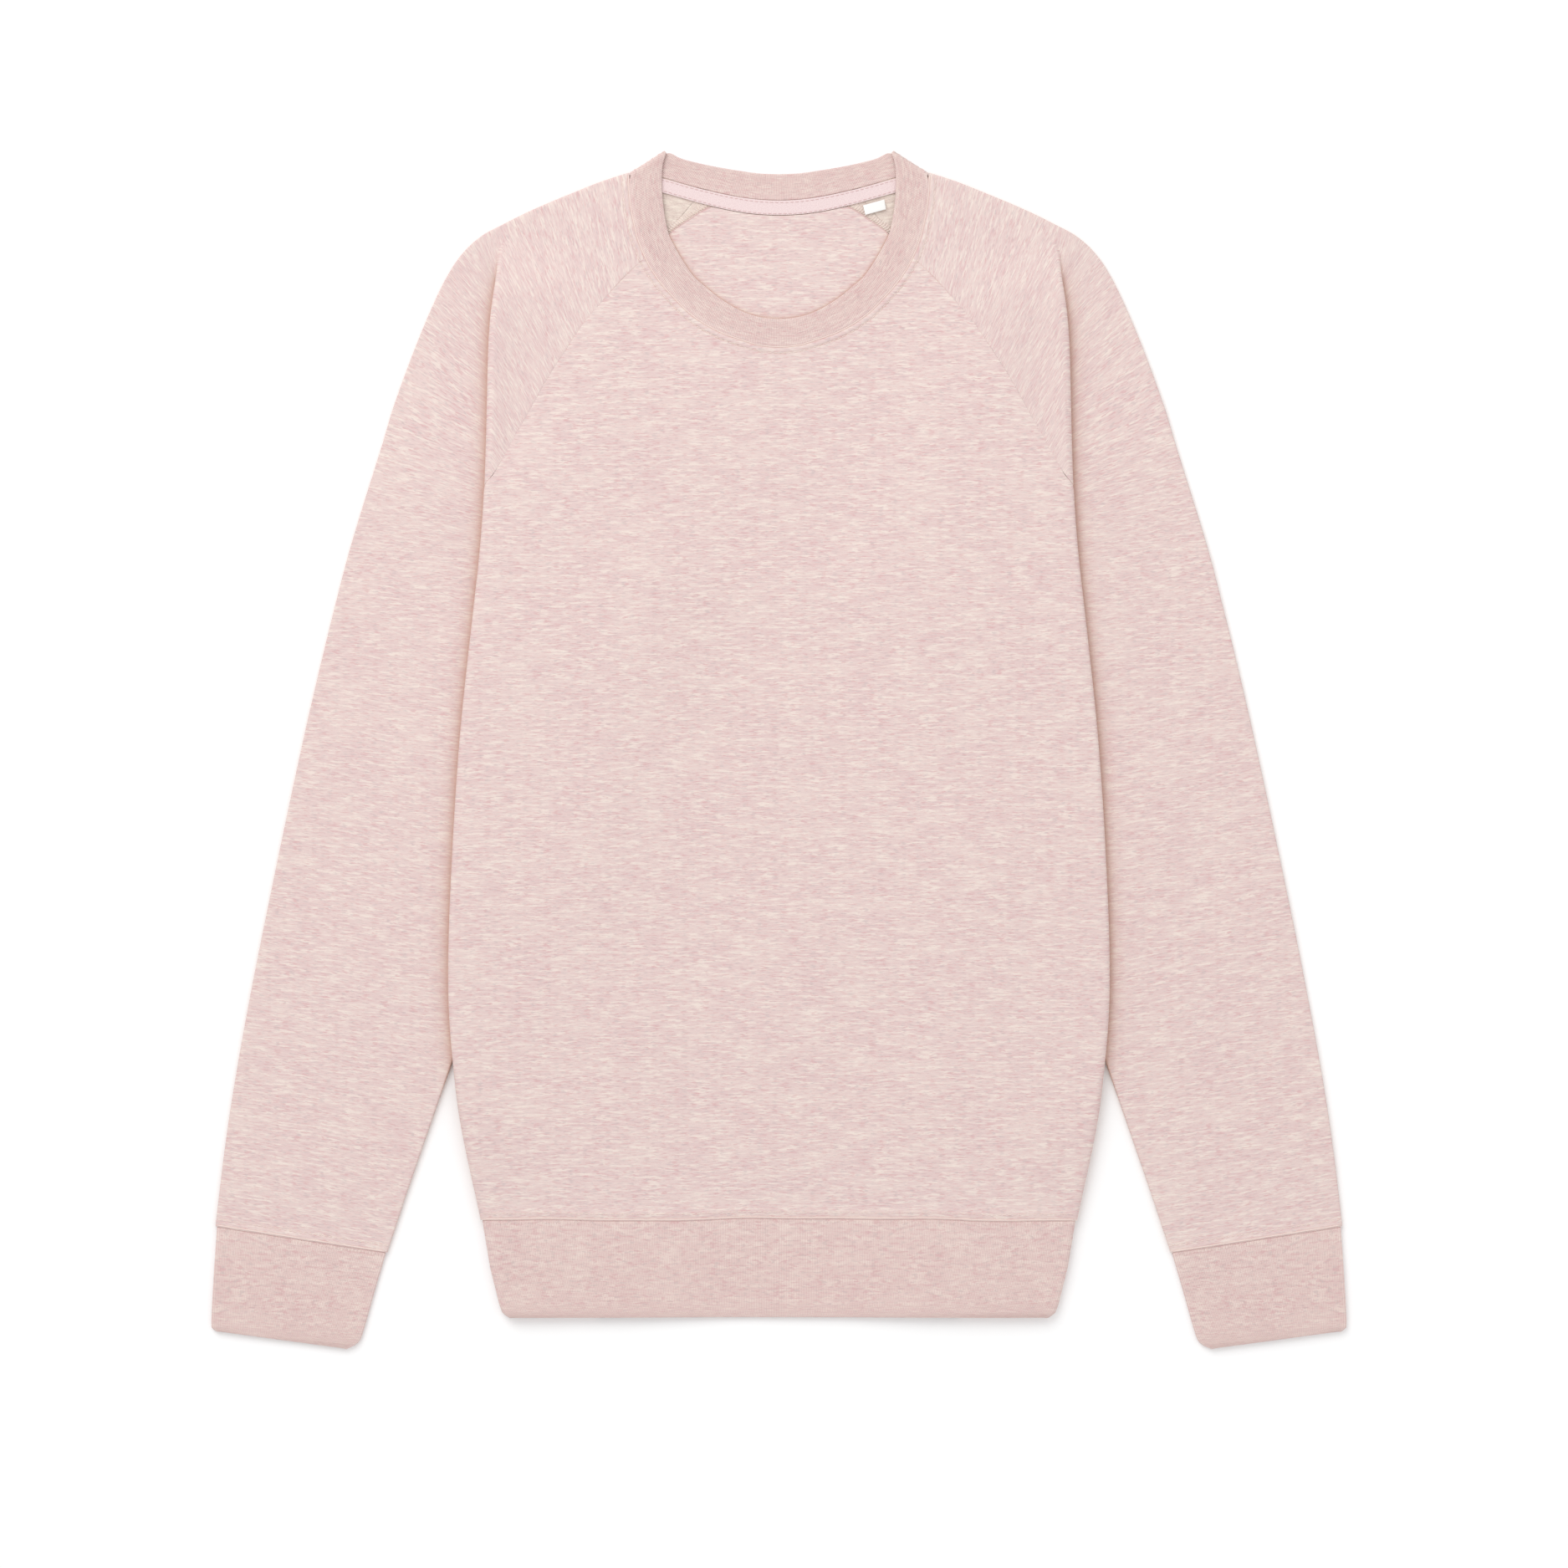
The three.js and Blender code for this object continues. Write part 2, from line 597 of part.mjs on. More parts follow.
// A row of a flattened tube between its inner and outer edges, in as many points as a sleeve row.
function tubeRow(inner, outer, spare) {
  const across = new THREE.Vector2(outer.u - inner.u, outer.y - inner.y).normalize();
  const inward = across.clone().negate();
  const a = { u: inner.u + across.x * TUBE_EDGE, y: inner.y + across.y * TUBE_EDGE };
  const b = { u: outer.u - across.x * TUBE_EDGE, y: outer.y - across.y * TUBE_EDGE };
  const middle = CLOTH / 2 + TUBE_FOLD;
  const [start] = turnRound(a, inward, TUBE_FOLD, middle, Math.PI / 2, Math.PI / 2, 1);
  const upper = () => CLOTH / 2 + PITCH;
  const lower = () => CLOTH / 2;
  return [
    ...repeated(start, spare + 1),
    ...turnRound(a, inward, TUBE_FOLD, middle, Math.PI / 2, 0, S.pleat),
    ...leg(a, b, S.sleeve, upper),
    ...turnRound(b, across, TUBE_FOLD, middle, 0, Math.PI, S.edge),
    ...leg(b, a, S.sleeve, lower),
    ...turnRound(a, inward, TUBE_FOLD, middle, Math.PI, Math.PI / 2, S.pleat),
    ...repeated(start, spare),
  ];
}

function sleeveGrid() {
  const rows = SHOULDER_ROWS.map((row, i) => {
    const before = SHOULDER_ROWS[Math.max(i - 1, 0)].outer;
    const after = SHOULDER_ROWS[Math.min(i + 1, SHOULDER_ROWS.length - 1)].outer;
    const next = new THREE.Vector2(before[1] - after[1], after[0] - before[0]).normalize();
    return sleeveRow(row, next);
  });
  const spare = S.top + S.turn + S.flap;
  for (const { innerY, outerY } of TUBE_ROWS) {
    const inner = { u: sleeveEdge(innerY), y: innerY };
    const outer = { u: curveAt(SLEEVE_OUTER, outerY), y: outerY };
    rows.push(tubeRow(inner, outer, spare));
  }
  return rows;
}

// Rows of the body's front or back, from the neck to the hem seam.
function bodyRows(side, neckEdge) {
  const topHeight = side === "front" ? frontTop : backTop;
  const flapHeight = side === "front" ? frontFlap : backFlap;
  const spare = S.bodyFlap + S.pleat;
  const seam = SHOULDER_ROWS.filter((row) => row[side]).map((row) => at(row[side]));
  const centre = neckEdge[0].y;
  const neck = (y) => (y <= centre ? 0 : lineAt([...neckEdge].reverse(), y));
  const knots = [...seam.slice(1), ...neckEdge].map((p) => p.y).filter((y) => y < seam[0].y - ROW_SPACE);
  const ys = [seam[0].y - CORNER_INSET, ...knots, ...EXTRA_ROWS_Y[side]];
  const rows = [...new Set(ys)].sort((a, b) => b - a).map((y) => {
    const start = { u: neck(y), y };
    const end = { u: lineAt(seam, y) - SEAM_LEVEL_SHIFT, y };
    const across = rampedLeg(start, end, S.bodyTop, topHeight);
    const last = across[across.length - 1];
    return [point(start.u, y, topHeight(start.u, y)), ...across, ...repeated(last, S.turn + spare)];
  });
  for (const row of SHOULDER_ROWS) {
    if (row.start === "turn") rows.push(foldedRow(row.foldY, row));
    if (row.start === "flap" && row !== UNDERARM_ROW) rows.push(foldedRow(row.seam[1], row));
  }
  for (const y of BODY_ROWS_Y) rows.push(foldedRow(y, {}));
  return rows;

  function foldedRow(y, { degrees, seam: seamPoint }) {
    const fold = { u: sideFold(y), y };
    const top = topHeight(fold.u, y);
    const flap = flapHeight(fold.u, y);
    const radius = (top - flap) / 2;
    const whole = degrees === undefined;
    const end = whole ? Math.PI : THREE.MathUtils.degToRad(degrees) - FOLD_SEAM_SHIFT / radius;
    const row = [
      point(0, y, topHeight(0, y)),
      ...rampedLeg({ u: 0, y }, fold, S.bodyTop, topHeight),
      ...turnRound(fold, OUTWARD, radius, (top + flap) / 2, 0, Math.max(end, 0), S.turn),
    ];
    if (!whole) return [...row, ...repeated(row[row.length - 1], spare)];
    if (seamPoint) {
      const under = leg(fold, { u: seamPoint[0] + SEAM_LEVEL_SHIFT, y }, S.bodyFlap, flapHeight);
      return [...row, ...under, ...repeated(under[under.length - 1], S.pleat)];
    }
    const edge = { u: flapEdge(y) + TUBE_EDGE, y };
    const under = rampedLeg(fold, edge, S.bodyFlap, flapHeight, [sleeveEdge]);
    const towards = side === "front" ? 1 : -1;
    const middle = flapHeight(edge.u, y) + towards * TUBE_FOLD;
    const [from, to] = side === "front" ? [Math.PI, Math.PI / 2 + END_TURN] : [0, Math.PI / 2 - END_TURN];
    return [...row, ...under, ...turnRound(edge, INWARD, TUBE_FOLD, middle, from, to, S.pleat)];
  }
}

// The seam line of the collar, moved out to the edge of the cloth that is sewn to it.
function clothEdge(rows, side) {
  const knots = rows.map((row) => new THREE.Vector2(...row.seam));
  return knots.map((knot, i) => {
    const before = knots[Math.max(i - 1, 0)];
    const after = knots[Math.min(i + 1, knots.length - 1)];
    const along = after.clone().sub(before).normalize();
    if (i === 0 && knot.x === 0) along.set(1, 0);
    return { u: knot.x + side * along.y * SEAM_GAP, y: knot.y - side * along.x * SEAM_GAP };
  });
}
const frontNeckEdge = clothEdge(COLLAR_FRONT, 1);
const backNeckEdge = clothEdge([...COLLAR_BACK].reverse(), 1);

function mesh(name, geometry, colour, roughness = 0.95) {
  const material = new THREE.MeshStandardMaterial({ color: colour, roughness, metalness: 0 });
  const made = new THREE.Mesh(geometry, material);
  made.name = name;
  return made;
}

function sleeve(name, flip) {
  const rows = sleeveGrid();
  const placed = flip ? rows.map((row) => row.map((p) => point(-p.x, p.y, p.z))) : rows;
  return mesh(name, new Sheet(CLOTH).grid(placed, flip).geometry(), COLOURS.cloth);
}

function cuff(name, flip) {
  const rows = CUFF_ROWS.map((row) => tubeRow(at(row.inner), at(row.outer), 0));
  const placed = flip ? rows.map((row) => row.map((p) => point(-p.x, p.y, p.z))) : rows;
  return mesh(name, new Sheet(CLOTH).grid(placed, flip).geometry(), COLOURS.rib);
}

// Half of the hem's ring: front, side fold, front flap, side seam, back flap, inner side fold, back.
function hemRow({ y, inset }) {
  const fold = { u: sideFold(y) - inset, y };
  const edge = { u: flapEdge(y) + TUBE_EDGE, y };
  const [top, low] = [frontTop(fold.u, y), frontFlap(fold.u, y)];
  const [inTop, inLow] = [backTop(fold.u, y), backFlap(fold.u, y)];
  return [
    point(0, y, frontTop(0, y)),
    ...rampedLeg({ u: 0, y }, fold, S.bodyTop, frontTop),
    ...turnRound(fold, OUTWARD, (top - low) / 2, (top + low) / 2, 0, Math.PI, S.turn),
    ...rampedLeg(fold, edge, S.bodyFlap, frontFlap, [sleeveEdge]),
    ...turnRound(edge, INWARD, TUBE_FOLD, frontFlap(edge.u, y) + TUBE_FOLD, Math.PI, 0, S.turn),
    ...rampedLeg(edge, fold, S.bodyFlap, backFlap, [sleeveEdge]),
    ...turnRound(fold, OUTWARD, (inTop - inLow) / 2, (inTop + inLow) / 2, Math.PI, 0, S.turn),
    ...rampedLeg(fold, { u: 0, y }, S.bodyTop, backTop),
  ];
}

function hemBand() {
  return mesh("hem_band", new Sheet(CLOTH).mirrored(HEM_ROWS.map(hemRow)).geometry(), COLOURS.rib);
}

// The collar's ring: each row runs from the seam to the free edge.
function collar() {
  const radius = (COLLAR_FRONT_HEIGHT - COLLAR_BACK_HEIGHT) / 2;
  const middle = (COLLAR_FRONT_HEIGHT + COLLAR_BACK_HEIGHT) / 2;
  const tip = COLLAR_FRONT[COLLAR_FRONT.length - 1];
  const along = new THREE.Vector2(tip.seam[0] - tip.free[0], tip.seam[1] - tip.free[1]).normalize();
  const outward = new THREE.Vector2(-along.y, along.x);
  const inset = radius + COLLAR_THICKNESS / 2;
  const row = (seam, free, height) => {
    const a = shifted(seam, free, SEAM_GAP / 2);
    return [point(a.u, a.y, height), ...leg(a, free, COLLAR_SEGMENTS, () => height)];
  };
  const atTip = (p) => ({ u: p[0] - outward.x * inset, y: p[1] - outward.y * inset });
  const fold = [atTip(tip.seam), atTip(tip.free)];
  const rows = COLLAR_FRONT.slice(0, -1).map((r) => row(at(r.seam), at(r.free), COLLAR_FRONT_HEIGHT));
  const turns = [0, 0.25, 0.5, 0.75, 1].map((s) => {
    const turn = Math.PI * s;
    const out = radius * Math.sin(turn);
    const move = (p) => ({ u: p.u + outward.x * out, y: p.y + outward.y * out });
    return row(move(fold[0]), move(fold[1]), middle + radius * Math.cos(turn));
  });
  const back = COLLAR_BACK.slice(1).map((r) => row(at(r.seam), at(r.free), COLLAR_BACK_HEIGHT));
  const sheet = new Sheet(COLLAR_THICKNESS).mirrored([...rows, ...turns, ...back]);
  return mesh("collar_rib", sheet.geometry(), COLOURS.rib);
}

function neckTape() {
  const rows = TAPE.map(({ upper, lower }) => {
    const a = at(upper);
    return [point(a.u, a.y, TRIM_HEIGHT), ...leg(a, at(lower), 2, () => TRIM_HEIGHT)];
  });
  return mesh("neck_tape", new Sheet(TRIM_THICKNESS).mirrored(rows).geometry(), COLOURS.tape, 0.85);
}

// The half-moon is sewn on the inside of the back, so it takes the back's own heights, moved out.
function halfMoon() {
  const height = (u, y) => backTop(u, y) + CLOTH / 2 + SEAM_GAP + TRIM_THICKNESS / 2;
  const rows = HALF_MOON.map(({ u, upper, lower }) => {
    const a = { u, y: upper };
    return [point(u, upper, height(u, upper)), ...leg(a, { u, y: lower }, 5, height)];
  });
  return mesh("half_moon", new Sheet(TRIM_THICKNESS).mirrored(rows).geometry(), COLOURS.cloth);
}

function sizeLabel() {
  const height = CLOTH + TRIM_THICKNESS + 2 * SEAM_GAP + LABEL_THICKNESS / 2;
  const [a, b, c, d] = LABEL_CORNERS.map(({ u, y }) => point(u, y, height));
  const sheet = new Sheet(LABEL_THICKNESS).grid([[a, b], [d, c]]);
  return mesh("size_label", sheet.geometry(), COLOURS.label, 0.7);
}

const sweatshirt = new THREE.Group();
for (const [side, neckEdge] of [["front", frontNeckEdge], ["back", backNeckEdge]]) {
  const sheet = new Sheet(CLOTH).mirrored(bodyRows(side, neckEdge));
  sweatshirt.add(mesh(side + "_panel", sheet.geometry(), COLOURS.cloth));
}
for (const [side, flip] of [["right", false], ["left", true]]) {
  sweatshirt.add(sleeve("sleeve_" + side, flip));
  sweatshirt.add(cuff("cuff_" + side, flip));
}
sweatshirt.add(collar(), hemBand(), neckTape(), halfMoon(), sizeLabel());

export default sweatshirt;
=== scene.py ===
"""A crewneck raglan sweatshirt in heather pink, laid flat, front up.

The cloth is built from the same rows and layers as the CAD solids, in millimetres, and made in
metres. Each panel is a thin shell with a knitted face and a looped inside; ribs and sewing are meshes.
"""

import math

import bmesh
import bpy
import numpy as np
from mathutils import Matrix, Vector


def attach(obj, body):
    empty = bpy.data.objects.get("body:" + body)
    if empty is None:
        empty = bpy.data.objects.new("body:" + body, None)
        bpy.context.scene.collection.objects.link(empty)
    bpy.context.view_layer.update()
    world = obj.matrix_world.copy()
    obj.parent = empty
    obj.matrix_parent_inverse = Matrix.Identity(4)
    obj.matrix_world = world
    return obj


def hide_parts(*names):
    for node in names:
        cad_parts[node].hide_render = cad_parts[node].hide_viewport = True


bl_info = {
    "name": "Crewneck sweatshirt",
    "version": (1, 0, 0),
    "blender": (4, 5, 0),
    "location": "View3D > Sidebar > Sweatshirt",
    "description": "Builds a raglan sweatshirt laid flat, with its ribs, sewing and studio",
    "category": "Object",
}

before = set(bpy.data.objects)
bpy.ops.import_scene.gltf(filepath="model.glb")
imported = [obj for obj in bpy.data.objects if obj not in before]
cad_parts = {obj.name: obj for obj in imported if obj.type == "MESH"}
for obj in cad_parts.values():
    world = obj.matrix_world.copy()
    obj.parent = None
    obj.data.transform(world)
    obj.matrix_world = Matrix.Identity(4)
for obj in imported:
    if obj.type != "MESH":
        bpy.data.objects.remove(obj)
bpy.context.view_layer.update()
MM = 0.001
BODY = "root"

# Cloth and stacking, in millimetres
CLOTH = 1.2
PITCH = 1.5
SEAM_SHIFT = 0.02
FOLD_SEAM_SHIFT = 0.3
SEAM_ALLOWANCE = 0.7
SEAM_SPACE = 0.15
HEM_SEAM_Y = -286.0
UNDERARM = (92.0, 100.0)
PLEAT_TIP = (169.0, 286.0)
PLEAT_LENGTH = 1.5
PLUMP = 2.3
PLUMP_REACH = 17.0
NEAR_FOLD = 1.6
PLUMP_TOP_Y = 296.0
PLUMP_FADE = 40.0
NECK_CENTRE_Y = 300.0
NECK_LIFT = 1.3
NECK_LIFT_REACH = 105.0
NECK_LIFT_FADE = 80.0
BACK_RAMP = 18.0
FRONT_RAMP = 85.0
FLAP_CLEARANCE = 4.0
PLEAT_CLEARANCE = 5.5
BACK_DROP = 0.3
TUBE_FOLD = PITCH / 2
TUBE_EDGE = TUBE_FOLD + CLOTH / 2
SIDE_EDGE = 1.5 * PITCH + CLOTH / 2
END_TURN = 0.75

# Segments along one row of each cloth panel
TOP, TURN, FLAP, PLEAT, SLEEVE, EDGE = 8, 4, 2, 3, 5, 4
BODY_TOP, BODY_FLAP = 10, 4
CORNER = 0.3
KNEE_SHARE = 0.3
ROW_SPACE = 1.0
KNOT_SPACE = 4.0
CLOTH_RIM = 0.28
RIM_ANGLE = 62.0
# Points that agree to this share of a millimetre are one: 1 / WELD
WELD = 200

# Outlines seen from the front: (y, u), where u is the distance from the middle
SIDE_FOLD = [
    (318, 171.3), (288, 172.5), (253, 176), (192, 177), (130, 180.3), (70, 186.7), (8, 193.3),
    (-73, 198.4), (-150, 200.5), (-206, 195.3), (-267, 184.6), (-308, 177.2), (-347, 168),
]
SIDE_SEAM = [(100, 90), (-2, 110.4), (-104, 124.2), (-170, 132.5), (-286, 118), (-347, 109)]
SLEEVE_INNER = [(100, 90), (-2, 131.3), (-104, 168), (-188, 198.1), (-247, 218.8), (-307, 238.9)]
SLEEVE_OUTER = [
    (115, 263.5), (58, 278), (4, 290.4), (-60, 304), (-125, 317.4), (-175, 327), (-226, 335.6),
    (-291, 343.4),
]

# How many degrees the pleat has turned where it crosses the side fold: (y, degrees)
PLEAT_TURN = [(319, 0), (304.4, 24), (293.7, 70), (283, 135), (276, 180)]

# Rows of the sleeve from the collar to the underarm:
# (start, front seam point or degrees or flap seam point, back seam point, outer point, fold y, pleat y).
# Above the pleat, with no fold, the last is the share of the row at which its points draw together.
SHOULDER_ROWS = [
    ("collar", (81.5, 299.4), (46.8, 341.2), (91.4, 350.8), None, None),
    ("top", (93.5, 289), (57, 327.5), (108, 345.8), None, 0.45),
    ("top", (105.5, 275), (68, 316.3), (124, 339.3), None, 0.55),
    ("top", (117.8, 260.5), (82, 299), (142, 332.2), None, 0.66),
    ("top", (125, 250), (93, 283.5), (158, 325.2), None, 0.78),
    ("top", (131.7, 239.5), (103, 268), (170, 318.9), None, 0.9),
    ("top", (134.5, 235.3), (107, 261.5), (174.8, 316.7), 304.4, None),
    ("top", (137.4, 231), (111, 255.5), (179.3, 314.4), 293.7, None),
    ("top", (140, 226.5), (115, 249), (183.7, 311), 283, None),
    ("top", (142.5, 222.5), (119, 243), (188.2, 307.6), 272.6, 270),
    ("top", (150.3, 208), (133, 222), (198.5, 296.2), 249.4, 243),
    ("top", (160.6, 190), (149, 198.5), (210, 273.5), 213, 207),
    ("top", (170.1, 172), (166, 174), (222.6, 243), 178, 176),
    ("turn", 4, 4, (230, 222.6), 164, 165),
    ("turn", 60, 60, (232.2, 216.4), 161, 160),
    ("turn", 120, 120, (234.4, 210.1), 158, 155),
    ("turn", 160, 160, (236.6, 203.8), 155, 150),
    ("flap", (166, 149), (166, 149), (240.4, 190), None, 143),
    ("flap", (152, 141), (152, 141), (245, 175.5), None, 135),
    ("flap", (136, 131), (136, 131), (250.1, 159.3), None, 126),
    ("flap", (118, 119), (118, 119), (255.2, 143), None, 116),
    ("flap", (102, 108), (102, 108), (259.6, 128.5), None, 107),
    ("flap", (93.5, 101), (93.5, 101), (263.5, 115), None, 100),
]

# Rows of the sleeve's tube: (inner y, outer y); the last four hold the raised seam at the cuff
TUBE_ROWS = [
    (96, 107), (45, 58), (-10, 4), (-75, -60), (-140, -125), (-190, -175), (-240, -226), (-280, -265),
    (-299.5, -283.6), (-302.0, -286.0), (-304.4, -288.3), (-306.3, -290.2),
]
BODY_ROWS_Y = [
    94, 75, 50, 20, -10, -45, -80, -115, -150, -175, -190, -205, -222, -245, -270, -279.5, -281.8, -284,
]
BACK_ROWS_Y = {214, 206, 188}

# Rows of the ribs: a cuff's (inner point, outer point), and the hem's (y, inset from the side fold)
CUFF_ROWS = [
    ((239.4, -306.7), (342.6, -290.6)),
    ((246, -329), (344.8, -325)),
    ((252.8, -353), (346, -348.6)),
    ((256.2, -361), (345, -352.4)),
    ((263.5, -364.9), (342, -354.2)),
]
HEM_ROWS = [(-286.3, 1.2), (-315, 0.0), (-338, 0.0), (-343, 1.2), (-345.6, 4.5)]

# The collar: (seam point, free point) from the centre front to the shoulder, and on to the centre back
COLLAR_FRONT = [
    ((0, 245.3), (0, 262.1)), ((12, 246.4), (8, 262.8)), ((23, 249.7), (15.8, 264.4)),
    ((34.5, 253.8), (23.3, 267.3)), ((44.9, 259.2), (30.3, 271.1)), ((54.4, 265.9), (37.6, 276)),
    ((62.5, 273.9), (44.4, 281.6)), ((71.6, 284), (51.6, 288)), ((78.5, 294.4), (57.8, 296.7)),
    ((83.4, 304.6), (63.4, 306.4)), ((86.9, 315.2), (67.8, 316.6)), ((90.3, 332.4), (70.9, 337)),
    ((91.2, 344), (70.9, 354)), ((91.6, 351.3), (69.8, 365.2)),
]
COLLAR_BACK = [
    ((82, 350.6), (65.5, 363.2)), ((70.6, 348.4), (59.5, 360.2)), ((57.6, 344.6), (48.9, 357.4)),
    ((44.9, 341.2), (38, 355.1)), ((30, 337.8), (25.4, 353)), ((15, 335.4), (12.7, 351.2)),
    ((0, 334.6), (0, 350.7)),
]
COLLAR_THICKNESS = 1.9
COLLAR_BACK_HEIGHT = COLLAR_THICKNESS / 2
COLLAR_FRONT_HEIGHT = 3.65

# Half of the tape: (upper point, lower point); half of the half-moon: (u, upper y, lower y)
TAPE = [
    ((0, 334.2), (0, 325.4)), ((15, 335), (15.5, 326.1)), ((30, 337.4), (31, 328.6)),
    ((44.9, 340.8), (46.4, 332.4)), ((57.8, 344.2), (59.4, 336)), ((69.4, 347.5), (71.2, 339.4)),
    ((78, 349.5), (79.5, 341.2)),
]
HALF_MOON = [
    (0, 325, 225), (14, 325.6, 226.4), (28, 327.6, 230.6), (41.5, 330.9, 238), (44.5, 330.2, 240.2),
    (54.5, 323.5, 249.5), (64.5, 316.6, 264.4), (70.5, 309.5, 280.5), (72.5, 303.5, 291.5),
]
LABEL_CORNERS = [(51.2, 331.4), (64.2, 335), (65.2, 329), (52.6, 325.6)]
TRIM_THICKNESS = 0.9
TRIM_GAP = 0.3
TRIM_HEIGHT = CLOTH + TRIM_GAP + TRIM_THICKNESS / 2
TRIM_RIM = 0.2
LABEL_THICKNESS = 0.4
LABEL_HEIGHT = CLOTH + TRIM_THICKNESS + 0.85

# Ribs: the width of one wale, the points across it, and how far from the seam it starts to rise
RIB_PITCH = 1.07
STATIONS = 4
RIB_LEAD = 0.7
RIB_PARTS = 3
COLLAR_RAILS = 6
HEM_MARKS = [0, 3, 6, 8, 9, 10, 11, 12]
COLLAR_PARTS = 6
RIB_TURN = 10
HEM_TOP, HEM_FLAP = 12, 6
COLLAR_RIB_DEPTH = 0.42
RIB_DEPTH = 0.3
SEAM_WALE = 0.2
LEAD_WALE = 0.8
SEAM_TAPER = 0.6
# Round the free edge of a rib: (height, distance past the edge, wale), as shares
RIB_RIM = [(0.72, -0.3, 0.9), (0.0, 0.0, 0.6), (-0.72, -0.3, 0.9)]
RIB_ROUND_OFF = 0.85

# Height of the raised seam over the last four rows of cloth before a rib
SEAM_LIFT = (0.0, -0.2, 0.6, 0.1)

# Height over the cloth beside a seam: (distance, height)
COLLAR_SEAM = [(0.0, -0.15), (0.9, 0.15), (2.0, 0.65), (3.0, 0.45), (3.8, -0.2), (5.0, 0.08), (8.0, 0.0)]
SEAM_EDGES = (1.6, 0.9)
SEAM_MARGIN = 1.5

# Waves of the cloth: (height in mm, waves per metre across, waves per metre along, phase)
SWELLS = [
    (0.16, 6.1, 2.3, 0.4), (0.13, -3.7, 7.9, 1.7), (0.11, 11.3, -4.1, 3.1), (0.09, 2.9, 14.3, 5.2),
    (0.06, 17.7, 9.7, 2.2),
]
SWELL_BASE = 0.5
HEM_WAVES = [(0.55, 4.3, 0.9), (0.35, 9.1, 2.6), (0.2, 17.0, 4.0)]
HEM_WAVE_REACH = 26.0
HEM_WAVE_HALF = 230.0

# Sewing: places of the stitches and of the rolls along the seams
COLLAR_STITCH = 3.8
HEM_STITCH_Y = -281.9
EDGE_INSET = 0.5
TAPE_INSET = 1.0
OVERLOCK_WIDTH = 4.0
SEAM_ROLL = 0.75
SEAM_DEPTH = 0.55
ROLL_RISE = 0.02
COLLAR_ROLL_RISE = 0.1
HEM_SEAM_POINTS = 120
CUFF_SEAM_PARTS = 40

# Sewing: radii of the threads, and the size of a stitch, a tick and an overlock thread.
# STEEPEST is the slope of the cloth above which a stitch is left out.
STEEPEST = 0.4
THREAD = 0.2
TAPE_THREAD = 0.18
TICK_THREAD = 0.15
EDGE_THREAD = 0.25
OVERLOCK_THREAD = 0.24
COLLAR_ROLL = 0.4
RIB_ROLL = 0.42
SUNK_THREAD = 0.3
STITCH = 2.3
STITCH_GAP = 0.8
STITCH_RISE = 0.16
TICK_PITCH = 2.14
TICK_START = 0.5
TICK_LENGTH = 1.9
TICK_SHARES = (0, 0.3, 0.7, 1)
OVERLOCK_PITCH = 1.5
OVERLOCK_RISE = 0.2
OVERLOCK_POINTS = 5
THREAD_SIDES = 6
THREAD_TIP = 0.55
# A stitch from end to end: (share of its length, share of its rise)
STITCH_ARCH = [(0.0, -0.25), (0.2, 0.6), (0.5, 1.0), (0.8, 0.6), (1.0, -0.25)]

# The CAD's plain materials have the slots' names, so these looks add to them
LOOK = "_look"
SPECULAR = 0.25
SHEEN_ROUGHNESS = 0.5

# Painted shade in creases: a warm darker colour mixed into the fleece's base colour where ambient occlusion
# finds the cloth hidden from light; how far it reaches, where it starts and is full, and its strength
CREASE_REACH = 12.0
CREASE_OPEN = 0.93
CREASE_DEEP = 0.5
PAINTED_CREASE_SHADE_STRENGTH = 0.75

# The studio, in metres: the camera above the middle, and lamps of (name, place, size)
CAMERA_X, CAMERA_Y, CAMERA_HEIGHT = 0.0031, -0.0209, 2.39
CAMERA_LENS = 90.0
TABLE_SIZE = 6.0
TABLE_DROP = 0.0005
LAMPS = [("key", (-0.9, 1.6, 1.9), 1.8), ("fill", (1.4, -0.4, 1.9), 1.6)]


def smoothstep(x):
    k = min(max(x, 0.0), 1.0)
    return k * k * (3 - 2 * k)


def straight(x):
    return min(max(x, 0.0), 1.0)


def curve_at(table, y):
    """A smooth curve through a table's (y, value) knots; past its ends the last slope goes on."""
    last = len(table) - 1

    def slope(i):
        a, b = table[max(i - 1, 0)], table[min(i + 1, last)]
        return (b[1] - a[1]) / (b[0] - a[0])

    if y >= table[0][0]:
        return table[0][1] + slope(0) * (y - table[0][0])
    if y <= table[last][0]:
        return table[last][1] + slope(last) * (y - table[last][0])
    i = next(k for k in range(last) if table[k + 1][0] < y)
    a, b = table[i], table[i + 1]
    h = b[0] - a[0]
    s = (y - a[0]) / h
    s2, s3 = s * s, s**3
    return (
        (2 * s3 - 3 * s2 + 1) * a[1]
        + (s3 - 2 * s2 + s) * h * slope(i)
        + (3 * s2 - 2 * s3) * b[1]
        + (s3 - s2) * h * slope(i + 1)
    )


def line_at(table, y):
    """Straight lines between (y, value) knots in falling order of y."""
    i = max(next((k for k in range(len(table)) if y >= table[k][0]), len(table) - 1), 1)
    a, b = table[i - 1], table[i]
    return a[1] + (b[1] - a[1]) * (y - a[0]) / (b[0] - a[0])


def side_fold(y):
    return curve_at(SIDE_FOLD, y) - SIDE_EDGE


def pleat_line(y):
    return UNDERARM[0] + (PLEAT_TIP[0] - UNDERARM[0]) * (y - UNDERARM[1]) / (PLEAT_TIP[1] - UNDERARM[1])


def unit(x, y):
    d = math.hypot(x, y) or 1.0
    return (x / d, y / d)


PLEAT_INWARD = unit(UNDERARM[1] - PLEAT_TIP[1], PLEAT_TIP[0] - UNDERARM[0])


def pleat_turn(y):
    return math.radians(min(max(line_at(PLEAT_TURN, y), 0.0), 180.0))


